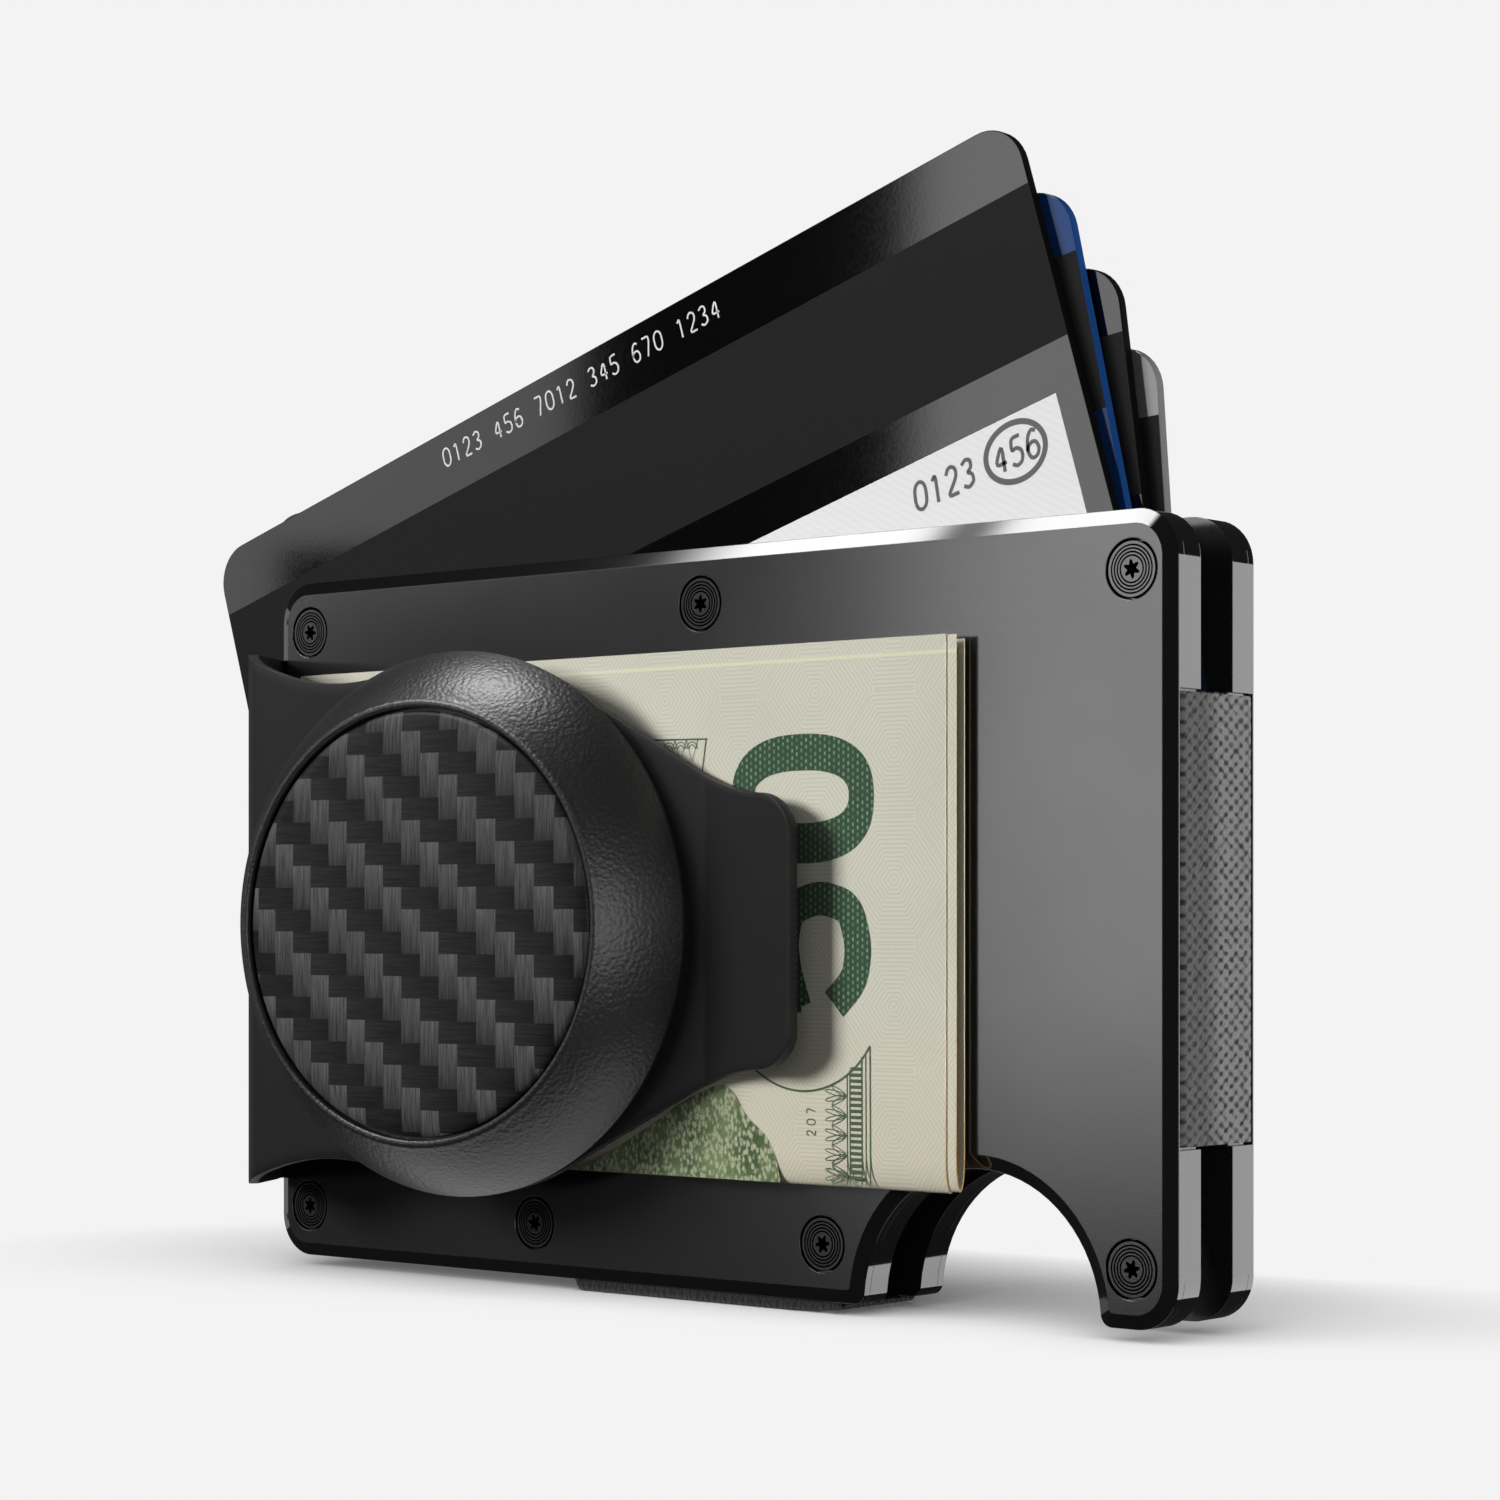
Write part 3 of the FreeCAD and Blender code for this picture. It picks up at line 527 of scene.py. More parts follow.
def note_ink():
    """Dark green ink printed as a mesh of small dashes."""
    shader = Shader("note_ink", (0.05, 0.09, 0.05), Roughness=0.7, Specular_IOR_Level=0.2)
    flat, flat_x, flat_y = shader.flat()
    lane = shader.math("FLOOR", shader.math("DIVIDE", flat_x, 0.42))
    across = shader.math("FRACT", shader.math("DIVIDE", flat_x, 0.42))
    along = shader.math("FRACT", shader.plus(shader.math("DIVIDE", flat_y, 0.5),
                                             shader.times(lane, 0.5)))
    dash = shader.times(shader.between(across, 0.30, 0.66, 0.08),
                       shader.between(along, 0.25, 0.75, 0.12))
    wear = shader.noise(1.3, flat, 3.0)
    dash = shader.times(dash, shader.ramp(wear, 0.35, 0.6, 0.25, 0.85))
    return shader.finish(shader.mix(dash, (0.035, 0.085, 0.045), (0.30, 0.40, 0.25)))


def note_lines():
    """Fine dark green ink."""
    shader = Shader("note_lines", (0.07, 0.11, 0.06), Roughness=0.7, Specular_IOR_Level=0.2)
    wear = shader.noise(2.5, shader.place("UV"), 3.0)
    return shader.finish(shader.mix(wear, (0.05, 0.085, 0.05), (0.13, 0.17, 0.10)))


def note_foliage():
    """Engraved-looking green patch of short crossing strokes that fades into the paper."""
    shader = Shader("note_foliage", (0.2, 0.28, 0.14), Roughness=0.75, Specular_IOR_Level=0.2)
    flat = shader.place("UV")
    strokes = shader.node("TexVoronoi", {"Vector": shader.place("UV", (3.6, 2.1, 1.0)), "Scale": 1.0},
                          feature="F1").outputs["Distance"]
    cloud = shader.noise(0.3, flat, 3.0)
    fine = shader.noise(2.6, flat, 4.0, 0.7)
    dark = shader.mix(shader.ramp(cloud, 0.35, 0.65, 0.0, 1.0), (0.07, 0.12, 0.05), (0.21, 0.28, 0.13))
    light = shader.mix(fine, (0.36, 0.41, 0.24), (0.60, 0.60, 0.43))
    level = shader.plus(strokes, shader.ramp(fine, 0.3, 0.7, -0.25, 0.25))
    return shader.finish(shader.mix(shader.ramp(level, 0.28, 0.62, 0.0, 1.0), light, dark))


def note_inside():
    """The leaves seen between the folds of the notes, their paper painted dark brown as painted shade."""
    shader = Shader("note_inside", (0.12, 0.09, 0.03), Roughness=0.8)
    where = shader.place("Object", (1.0, 9.0, 0.12))
    streak = shader.noise(1.0, where, 3.0, 0.6)
    height = shader.split(shader.place(), "Z")
    # painted shade: the whole tone and its darker streaks stand for shade inside the fold
    tone = shader.mix(shader.ramp(height, 36.0, 14.0, 0.0, 1.0), (0.095, 0.085, 0.022), (0.17, 0.09, 0.025))
    return shader.finish(shader.mix(shader.ramp(streak, 0.35, 0.65, 0.0, 0.55), tone, (0.05, 0.04, 0.015)))


def plain(name, low, high, scale, rough_low, rough_high, relief=0.003, **sockets):
    """A finish whose colour and roughness vary a little, with a fine grain."""
    shader = Shader(name, low, **sockets)
    where = shader.place()
    speck = shader.noise(scale, where, 3.0)
    return shader.finish(shader.mix(speck, low, high),
                         shader.ramp(speck, 0.3, 0.7, rough_low, rough_high),
                         shader.bump(speck, relief))


PLATE = anodised_plate()
SCREW = plain("black_screw", grey(0.016), grey(0.026), 5.0, 0.13, 0.17, Specular_IOR_Level=0.8)
# painted shade: a black, unreflecting finish for the screws' socket, grooves and rim
SCREW_RECESS_SHADE = plain("screw_recess_shade", grey(0.001), grey(0.003), 5.0, 0.6, 0.8, Specular_IOR_Level=0.0)
# the last figure is painted shade on the side strap's front half
SIDE_KNIT = knitted("grey_elastic", grey(0.012), grey(0.3), 0.45)
BOTTOM_KNIT = knitted("black_elastic", grey(0.004), grey(0.02))
CLIP = black_clip()
CASE = case_shell()
CARBON = carbon_fibre()
CARD_BLACK = card_plastic("card_black", grey(0.001))
CARD_BLUE = card_plastic("card_blue", (0.008, 0.045, 0.17), 0.12)
CARD_GREY = card_plastic("card_grey", grey(0.17))
CARD_EDGE = plain("card_edge", grey(0.002), grey(0.004), 4.0, 0.6, 0.7, Specular_IOR_Level=0.05)
TAPE = card_tape()
PANEL = signature_panel()
PAPER = note_paper()
INK = note_ink()
FINE_INK = note_lines()
FOLIAGE = note_foliage()
LEAVES = note_inside()
PANEL_INK = plain("panel_ink", grey(0.10), grey(0.13), 6.0, 0.6, 0.7)
WHITE_INK = plain("white_ink", grey(0.72), grey(0.8), 6.0, 0.5, 0.6)
TRACKER_SHELL = plain("tracker_shell", grey(0.62), grey(0.66), 3.0, 0.3, 0.4)
CIRCUIT = plain("tracker_circuit", (0.01, 0.06, 0.03), (0.02, 0.10, 0.05), 1.5, 0.35, 0.5)
CELL = plain("cell_can", grey(0.5), grey(0.62), 4.0, 0.22, 0.34, Metallic=1.0)
BRASS = plain("sounder_brass", (0.55, 0.38, 0.13), (0.65, 0.46, 0.18), 3.0, 0.25, 0.4, Metallic=1.0)
SPRING = plain("spring_steel", grey(0.4), grey(0.5), 5.0, 0.25, 0.35, Metallic=1.0)


# ---------------------------------------------------------------- plates and inner parts
def dress(node, material):
    """A CAD node keeps its shape and takes a finish."""
    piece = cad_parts[node]
    piece.data.materials.clear()
    piece.data.materials.append(material)


for side in ("front", "rear"):
    for layer in ("outer", "inner"):
        dress("%s_%s_plate" % (side, layer), PLATE)
for node, material in (("carrier_screws", SCREW), ("tracker_base", TRACKER_SHELL),
                       ("tracker_cover", TRACKER_SHELL), ("tracker_cell", CELL),
                       ("tracker_board", CIRCUIT), ("tracker_sounder", BRASS),
                       ("tracker_contact", SPRING)):
    dress(node, material)


# ---------------------------------------------------------------- screws
def screw_profile():
    """(radius, height, ripple) of a screw from its socket out to its point."""
    rows = [(0.0, -0.55, 0.0), (0.38, -0.55, 0.08), (0.44, -0.50, 0.13), (0.48, -0.05, 0.15),
            (0.51, 0.0, 0.15), (0.74, 0.0, 0.0), (0.82, 0.0, 0.0)]
    for ring in range(SCREW_RINGS):
        start = SCREW_RING_FIRST + ring * SCREW_RING_PITCH
        for share, depth in ((0.0, 0.0), (0.06, -0.12), (0.46, -0.12), (0.54, 0.0)):
            rows.append((start + SCREW_RING_PITCH * share, depth, 0.0))
    rows += [(1.84, 0.0, 0.0), (1.9, -0.06, 0.0), (1.9, -0.72, 0.0), (0.98, -0.72, 0.0),
             (0.98, -2.9, 0.0), (0.0, -2.9, 0.0)]
    return rows


def screw_heads(name, side):
    """All seven screws of one frame; side is -1 for the clip side and 1 for the back."""
    shape = Shape()
    rows = screw_profile()
    # everything below the face of the head is painted black as painted shade: the socket, the grooves and the
    # rim
    shaded_recess = [1 if min(a[1], b[1]) < -0.001 else 0 for a, b in zip(rows, rows[1:])]
    head_y = side * (-FRONT_FACE_Y - 0.03)
    for x, z in SCREW_PLACES:
        spin = math.radians(37.0 * x + 11.0 * z)

        def place(a, b, height, x=x, z=z, spin=spin):
            turned_a = a * math.cos(spin) - b * math.sin(spin)
            turned_b = a * math.sin(spin) + b * math.cos(spin)
            return Vector((x - side * turned_a, head_y + side * height, PLATE_MIDDLE_Z + z + turned_b))

        turned(shape, [r[:2] for r in rows], place, 72, [r[2] for r in rows], shaded_recess)
    return shape.make(name, [SCREW, SCREW_RECESS_SHADE], crisp=40)


settle(screw_heads("front_screw_heads", -1), "front_frame", "black_screw", "front_screws")
settle(screw_heads("rear_screw_heads", 1), "rear_frame", "black_screw", "rear_screws")


# ---------------------------------------------------------------- elastics
def bend_path(points, radii, step, arc_steps=10):
    """(point, left-hand normal) samples along a bent line in the XY plane."""
    samples = []
    directions = [(b - a).normalized() for a, b in zip(points, points[1:])]
    start = points[0]
    for i, direction in enumerate(directions):
        normal = Vector((-direction.y, direction.x, 0.0))
        if i < len(radii):
            following = directions[i + 1]
            cross = direction.x * following.y - direction.y * following.x
            angle = direction.angle(following)
            setback = radii[i] * math.tan(angle / 2)
            end = points[i + 1] - direction * setback
        else:
            end = points[-1]
        count = max(1, round((end - start).length / step))
        samples += [(start.lerp(end, k / count), normal.copy()) for k in range(count + 1)]
        if i < len(radii):
            sign = 1 if cross > 0 else -1
            centre = end + normal * (sign * radii[i])
            for k in range(1, arc_steps):
                spin = Matrix.Rotation(sign * angle * k / arc_steps, 3, "Z")
                samples.append((centre + spin @ (end - centre), spin @ normal))
            start = points[i + 1] + following * setback
    return samples


def sheet(shape, stations, spots, at):
    """A closed sheet; at(station, spot) gives its front point, back point and flat coordinates."""
    grid = [[at(station, spot) for spot in spots] for station in stations]
    fronts, backs, flats = [[[cell[k] for cell in row] for row in grid] for k in range(3)]
    shape.slab(fronts, backs, flats=flats)
    return shape


def with_run(samples):
    """(point, normal, distance along the path) for each sample."""
    run, before, stations = 0.0, samples[0][0], []
    for point, normal in samples:
        run += (point - before).length
        before = point
        stations.append((point, normal, run))
    return stations


def stitch_relief(across, up):
    """How deep the knit lies at a point of the strap, in millimetres."""
    pit = 0.5 + 0.5 * math.cos(2 * math.pi * across / KNIT_WIDTH) * math.cos(2 * math.pi * up / KNIT_HEIGHT)
    return KNIT_DEPTH * pit ** 1.6


def knitted_strap(samples, low, high, to_point):
    """A strap from path samples, knitted on its right-hand face; to_point maps path and height."""
    count = round((high - low) / (KNIT_HEIGHT / 6))

    def at(station, k):
        point, normal, run = station
        up = low + (high - low) * k / count
        sink = stitch_relief(run, up) + 0.10 * max(0.0, 1 - min(up - low, high - up) / 0.25) ** 2
        return (to_point(point - normal * (STRAP_THICKNESS / 2 - sink), up),
                to_point(point + normal * (STRAP_THICKNESS / 2), up), (run, up))

    return sheet(Shape(), with_run(samples), range(count + 1), at)


def fuzz(shape, roots, seed, length=(0.15, 0.45), radius=0.012):
    """Short curled fibres that start at the given (point, direction) roots."""
    draw = random.Random(seed)
    for point, direction in roots:
        reach = draw.uniform(*length)
        wander = Vector([draw.uniform(-1, 1) for _ in range(3)])
        heading = (direction + wander * 0.7).normalized()
        curl = Vector([draw.uniform(-1, 1) for _ in range(3)]) * 0.9
        side = heading.orthogonal().normalized()
        other = heading.cross(side)
        rows = []
        place = point.copy()
        for k in range(4):
            thin = radius * (1 - 0.25 * k)
            rows.append([place + (side * math.cos(a) + other * math.sin(a)) * thin
                         for a in (0.0, 2.1, 4.2)])
            heading = (heading + curl * 0.3).normalized()
            place = place + heading * (reach / 3)
            place.z = max(place.z, radius)
        shape.skin(rows, wrap=True)


def side_strap():
    middle_x = STRAP_OUTSIDE_X - STRAP_THICKNESS / 2
    middle_y = STRAP_FACE_Y - STRAP_THICKNESS / 2
    corners = [Vector((SIDE_STRAP_TAIL_X, middle_y, 0)), Vector((middle_x, middle_y, 0)),
               Vector((middle_x, -middle_y, 0)), Vector((SIDE_STRAP_TAIL_X, -middle_y, 0))]
    samples = bend_path(corners, [0.3, 0.3], KNIT_WIDTH / 7, 4)
    low, high = PLATE_MIDDLE_Z - SIDE_STRAP_HALF, PLATE_MIDDLE_Z + SIDE_STRAP_HALF
    shape = knitted_strap(samples, low, high, lambda p, up: Vector((p.x, p.y, up)))
    draw = random.Random(5)
    roots = []
    for _ in range(420):
        y = draw.uniform(-4.1, 4.1)
        edge, up = draw.choice([(low, -1), (high, 1)])
        roots.append((Vector((STRAP_OUTSIDE_X - 0.12, y, edge - up * 0.1)), Vector((0.35, 0, up))))
    fuzz(shape, roots, 6, (0.1, 0.3))
    return shape.make("side_strap", [SIDE_KNIT], crisp=60)


def bottom_strap():
    """Round under the plates, drawn in the YZ plane and run along X; its left end is cut askew."""
    middle_y = STRAP_FACE_Y - STRAP_THICKNESS / 2
    corners = [Vector((BOTTOM_STRAP_TAIL_TOP, -middle_y, 0)), Vector((STRAP_THICKNESS / 2, -middle_y, 0)),
               Vector((STRAP_THICKNESS / 2, middle_y, 0)), Vector((BOTTOM_STRAP_TAIL_TOP, middle_y, 0))]
    samples = bend_path(corners, [0.3, 0.3], KNIT_WIDTH / 7, 4)

    def to_point(p, along):
        inside_slot = min(1.0, max(0.0, (p.x - 2.2) / 0.8))
        right = BOTTOM_STRAP_RIGHT + (BOTTOM_STRAP_TAIL_RIGHT - BOTTOM_STRAP_RIGHT) * inside_slot
        share = (along - BOTTOM_STRAP_LEFT) / (BOTTOM_STRAP_RIGHT - BOTTOM_STRAP_LEFT)
        skew = 0.6 * max(0.0, 1 - p.x / 1.2) * (1 - share)
        x = BOTTOM_STRAP_LEFT + (right - BOTTOM_STRAP_LEFT) * share + skew
        lift = 0.35 * max(0.0, (along - 9.0) / 5.5) ** 2 * max(0.0, 1 - p.x)
        return Vector((x, p.y, max(0.0, p.x) + lift))

    shape = knitted_strap(samples, BOTTOM_STRAP_LEFT, BOTTOM_STRAP_RIGHT, to_point)
    draw = random.Random(8)
    roots = []
    for _ in range(1500):
        y = draw.choice([-1, 1]) * draw.uniform(3.2, 4.38)
        x = draw.uniform(BOTTOM_STRAP_LEFT + 0.3, BOTTOM_STRAP_RIGHT)
        roots.append((Vector((x, y, draw.uniform(0.05, 0.5))), Vector((0, math.copysign(0.7, y), -0.15))))
    for _ in range(160):
        x, way = draw.choice([(BOTTOM_STRAP_LEFT + 0.4, -1), (BOTTOM_STRAP_RIGHT, 1)])
        root = Vector((x, draw.uniform(-4.3, 4.3), draw.uniform(0.05, 0.4)))
        roots.append((root, Vector((way * 0.7, 0, 0))))
    fuzz(shape, roots, 9)
    return shape.make("bottom_strap", [BOTTOM_KNIT], crisp=60)


for strap, node in ((side_strap(), "side_elastic"), (bottom_strap(), "bottom_elastic")):
    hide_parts(node)
    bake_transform(strap)


# ---------------------------------------------------------------- money clip
def clip_half_height(u):
    """Half height of the clip at u along its flat."""
    if u <= CLIP_ARCS[0][0][0]:
        return CLIP_WALL_HALF - 0.2 * min(1.0, max(0.0, (u + 25.0) / 3.4))
    for a, b, c in CLIP_ARCS:
        if a[0] <= u <= c[0]:
            (x, z), radius = circle_through(a, b, c)
            reach = math.sqrt(max(0.0, radius ** 2 - (u - x) ** 2))
            return z + reach if b[1] > z else z - reach
    before, after = CLIP_ARCS[1][2], CLIP_ARCS[2][0]
    if u < after[0]:
        share = (u - before[0]) / (after[0] - before[0])
        return before[1] + (after[1] - before[1]) * share
    return CLIP_ARCS[-1][2][1]


def money_clip():
    """One bent sheet: tab under the plate, folded edge, slanted wall, flat and lip."""
    half = CLIP_SHEET / 2
    wall = Vector((math.cos(CLIP_WALL_LEAN), -math.sin(CLIP_WALL_LEAN), 0))
    corner = on_flat(CLIP_CORNER_U + CLIP_SHEET / 4, -half)
    fold = corner - wall * ((CLIP_TAB_Y - corner.y) / math.sin(CLIP_WALL_LEAN))
    crease = on_flat(CLIP_CREASE_U, -half)
    lean = CLIP_TURN - CLIP_LIP_ANGLE
    tip = crease + Vector((math.cos(lean), math.sin(lean), 0)) * CLIP_LIP_LENGTH
    corners = [Vector((CLIP_TAB_END_X, CLIP_TAB_Y, 0)), fold, corner, crease, tip]
    samples = bend_path(corners, CLIP_BENDS, 0.35, 14)
    rows_across = 40

    def at(station, k):
        point, normal, run = station
        u = (point - CLIP_ORIGIN).dot(ALONG)
        on_tab = point.y > CLIP_TAB_Y - 0.5
        height = CLIP_WALL_HALF if on_tab else clip_half_height(u)
        middle = PLATE_MIDDLE_Z - CLIP_DROOP * max(0.0, u - CLIP_CORNER_U) * (not on_tab)
        z = middle + height * (2 * k / rows_across - 1)
        return point - normal * half + UP * z, point + normal * half + UP * z, (run, z)

    shape = sheet(Shape(), with_run(samples), range(rows_across + 1), at)
    return shape.make("money_clip", [CLIP], crisp=35, bevel=0.11)


clip = money_clip()
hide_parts("clip_tab", "clip_leg")
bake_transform(clip)


# ---------------------------------------------------------------- round case
def case_cup():
    shape = Shape()
    turned(shape, [(0, 0.0), (20.08, 0.0), (20.2, 0.1), (20.2, 0.45), (20.1, 0.55), (17.35, 0.55),
                   (17.35, 3.4), (17.25, 3.5), (16.3, 3.5), (16.2, 3.4), (16.2, 0.6), (15.7, 1.0),
                   (0, 1.0)], case_place, 160)
    return shape.make("case_cup", [CASE], crisp=40)


def case_cap():
    dome = arc_profile((20.4, 0.75), (18.8, 3.45), (16.66, 5.79), 26)
    profile = [(0, 5.2), (15.95, 5.2), (15.95, 5.92), (16.0, 6.0), (16.08, 6.04), (16.26, 6.05),
               (16.4, 6.02), (16.55, 5.92)] + list(reversed(dome))
    profile += [(20.3, 0.62), (17.6, 0.62), (17.6, 3.6), (15.9, 3.6), (15.9, 4.6), (0, 4.6)]
    shape = Shape()
    turned(shape, profile, case_place, 192)
    return shape.make("case_cap", [CASE], crisp=40)


def weave_disc():
    edge = [(15.7, 5.22), (15.7, 5.62), (15.6, 5.72), (15.3, 5.81), (14.8, 5.88), (14.0, 5.93),
            (12.5, 5.95), (8.0, 5.95), (0, 5.95)]
    shape = Shape()
    turned(shape, [(0, 5.22)] + edge, case_place, 192)
    return shape.make("weave_disc", [CARBON], crisp=40)


settle(case_cup(), "clip", "case_shell", "carrier_cup")
settle(case_cap(), "case_cap", "case_shell", "carrier_cap")
settle(weave_disc(), "case_cap", "carbon_fibre", "carbon_disc")


# ---------------------------------------------------------------- cards
def rounded_ring(length, height, corner, inset, steps=10):
    """Points round a rounded rectangle, anticlockwise."""
    ring = []
    half_x, half_z, radius = length / 2 - inset, height / 2 - inset, corner - inset
    for quarter, (sx, sz) in enumerate(((1, 1), (-1, 1), (-1, -1), (1, -1))):
        for k in range(steps + 1):
            angle = math.radians(90 * quarter + 90 * k / steps)
            ring.append((sx * (half_x - radius) + radius * math.cos(angle),
                         sz * (half_z - radius) + radius * math.sin(angle)))
    return ring


def card_place(index):
    turn, x, z = CARD_FAN[index]
    y = CARD_FIRST_FACE_Y + CARD_PITCH * index
    cos, sin = math.cos(math.radians(turn)), math.sin(math.radians(turn))

    def place(a, b, depth):
        """a along the card, b up it, depth into it from its front face."""
        return Vector((x + a * cos - b * sin, y + depth, z + a * sin + b * cos))

    return place


def card_body(index, material):
    place = card_place(index)
    soft = 0.07
    layers = [(0.0, soft), (soft * 0.3, soft * 0.3), (soft, 0.0), (CARD_THICKNESS - soft, 0.0),
              (CARD_THICKNESS - soft * 0.3, soft * 0.3), (CARD_THICKNESS, soft)]
    rows, flats = [[place(0, 0, 0)]], [[(0, 0)]]
    for depth, inset in layers:
        ring = rounded_ring(CARD_LENGTH, CARD_HEIGHT, CARD_CORNER, inset)
        rows.append([place(a, b, depth) for a, b in ring])
        flats.append(ring)
    rows.append([place(0, 0, CARD_THICKNESS)])
    flats.append([(0, 0)])
    shape = Shape()
    shape.skin(rows, wrap=True, flats=flats, group=[0] + [1] * (len(rows) - 3) + [0])
    edge = CARD_EDGE if material is CARD_BLACK else material
    return shape.make("card_%d_body" % (index + 1), [material, edge], crisp=12)


def card_patch(index, name, x0, x1, z0, z1, material, depth=-0.008):
    """A thin laminated strip on a card's front, with its own small thickness."""
    lay = card_place(index)
    columns = [x0 + (x1 - x0) * k / 8 for k in range(9)]
    shape = Shape()
    shape.slab([[lay(x, z, depth) for x in columns] for z in (z0, z1)],
               [[lay(x, z, 0.004) for x in columns] for z in (z0, z1)],
               flats=[[(x, z) for x in columns] for z in (z0, z1)])
    return shape.make(name, [material], crisp=20)


for index, (material, slot) in enumerate(((CARD_BLACK, "card_black"), (CARD_BLUE, "card_blue"),
                                          (CARD_BLACK, "card_black"), (CARD_GREY, "card_grey"))):
    body = "card_%d" % (index + 1)
    settle(card_body(index, material), body, slot, body)
    edge = CARD_LENGTH / 2 - 0.08
    settle(card_patch(index, body + "_stripe", -edge, edge, STRIPE_BOTTOM, STRIPE_TOP, TAPE), body, slot)
    settle(card_patch(index, body + "_panel", -40.0, 40.7, -6.0, 7.3, PANEL), body, slot)


def ribbon(shape, points, width, place, closed=False):
    """A flat line of ink that follows (x, z) points."""
    rows, count = [], len(points)
    for i, (x, z) in enumerate(points):
        back = points[i - 1] if i or closed else points[i]
        ahead = points[(i + 1) % count] if i + 1 < count or closed else points[i]
        dx, dz = ahead[0] - back[0], ahead[1] - back[1]
        size = math.hypot(dx, dz) or 1.0
        nx, nz = -dz / size * width / 2, dx / size * width / 2
        rows.append([(x + nx, z + nz), (x - nx, z - nz)])
    if closed:
        rows.append(rows[0])
    shape.skin([[place(a, b) for a, b in row] for row in rows], flats=rows)


# strokes of the digits 0 to 7 on a box one wide and two high
DIGITS = {
    "0": [[(0.0, 0.6), (0.0, 1.4), (0.15, 1.8), (0.5, 2.0), (0.85, 1.8), (1.0, 1.4), (1.0, 0.6),
           (0.85, 0.2), (0.5, 0.0), (0.15, 0.2), (0.0, 0.6)]],
    "1": [[(0.2, 1.6), (0.55, 2.0), (0.55, 0.0)]],
    "2": [[(0.05, 1.5), (0.2, 1.85), (0.5, 2.0), (0.85, 1.8), (0.95, 1.4), (0.8, 1.0), (0.0, 0.0),
           (1.0, 0.0)]],
    "3": [[(0.05, 1.7), (0.45, 2.0), (0.85, 1.8), (0.85, 1.3), (0.45, 1.05), (0.9, 0.85), (0.95, 0.3),
           (0.5, 0.0), (0.05, 0.25)]],
    "4": [[(0.75, 0.0), (0.75, 2.0), (0.0, 0.6), (1.0, 0.6)]],
    "5": [[(0.9, 2.0), (0.15, 2.0), (0.1, 1.1), (0.5, 1.25), (0.9, 1.0), (1.0, 0.6), (0.85, 0.15),
           (0.45, 0.0), (0.05, 0.25)]],
    "6": [[(0.85, 1.8), (0.5, 2.0), (0.15, 1.6), (0.0, 0.7), (0.2, 0.15), (0.5, 0.0), (0.85, 0.15),
           (1.0, 0.6), (0.8, 1.05), (0.5, 1.15), (0.15, 1.0), (0.0, 0.6)]],
    "7": [[(0.0, 2.0), (1.0, 2.0), (0.4, 0.0)]],
}


def digits(shape, text, size, start, place, weight, slant=0.0, gap=1.55):
    """Writes digits from start, each half as wide as it is high."""
    x0, z0 = start
    for letter in text:
        for stroke in DIGITS.get(letter, []):
            line = [(x0 + (a + slant * b) * size / 2, z0 + b * size / 2) for a, b in stroke]
            ribbon(shape, smooth_line(line), weight, place)
        x0 += size / 2 * gap
    return x0


def smooth_line(points, cuts=2):
    """Rounds the corners of a line by cutting them, keeping its ends."""
    for _ in range(cuts):
        cut = [points[0]]
        for a, b in zip(points, points[1:]):
            cut.append((a[0] * 0.8 + b[0] * 0.2, a[1] * 0.8 + b[1] * 0.2))
            cut.append((a[0] * 0.2 + b[0] * 0.8, a[1] * 0.2 + b[1] * 0.8))
        points = cut + [points[-1]]
    return points


PRINT_LIFT = 0.016


def card_print():
    """Generic figures on the first card: a row along its top and a ringed group on the panel."""
    lay = card_place(0)

    def place(a, b):
        return lay(a, b, -PRINT_LIFT)

    row = Shape()
    digits(row, "0123 456 7012 345 670 1234", 1.5, (-15.3, 24.2), place, 0.15, 0.0, 1.55)
    settle(row.make("card_1_figures", [WHITE_INK]), "card_1", "card_black")
    panel = Shape()
    digits(panel, "0123", 2.0, (27.3, 3.85), place, 0.28, 0.12, 1.42)
    digits(panel, "456", 2.0, (34.45, 3.75), place, 0.28, 0.12, 1.42)
    ring = [(36.4 + 2.55 * math.cos(math.radians(6 * k)), 4.75 + 2.0 * math.sin(math.radians(6 * k)))
            for k in range(60)]
    ribbon(panel, ring, 0.42, place, closed=True)
    settle(panel.make("card_1_panel_figures", [PANEL_INK]), "card_1", "card_black")


card_print()


# ---------------------------------------------------------------- folded notes
def folded_note(name, number, top_drop, right_drop):
    """A note folded round those inside it; number counts the notes from the outermost."""
    inset = number * NOTE_SHEET * 1.1
    front, back = NOTE_FRONT_Y + inset, NOTE_FACE_Y - inset
    bend_y = (back - front - NOTE_SHEET) / 2
    bend_z = NOTE_BEND - inset
    middle_y = (front + back) / 2
    top = NOTE_TOP - top_drop
    low = NOTE_BOTTOM + inset + NOTE_SHEET / 2 + bend_z
    line = [(middle_y - bend_y, top - (top - low) * k / 24, -1.0, 0.0) for k in range(24)]
    for step in range(25):
        angle = math.pi * step / 24
        away = Vector((-math.cos(angle) / bend_y, -math.sin(angle) / bend_z)).normalized()
        line.append((middle_y - bend_y * math.cos(angle), low - bend_z * math.sin(angle), away.x, away.y))
    line += [(middle_y + bend_y, low + (top - 0.25 - low) * k / 24, 1.0, 0.0) for k in range(1, 25)]
    columns, half = 40, NOTE_SHEET / 2

    def at(station, k):
        y, z, ny, nz = station
        x = NOTE_LEFT + (NOTE_RIGHT - right_drop - NOTE_LEFT) * k / columns
        return (x, y + ny * half, z + nz * half), (x, y - ny * half, z - nz * half), (x, z)

    shape = sheet(Shape(), line, range(columns + 1), at)
    return shape.make(name, [PAPER], crisp=50)


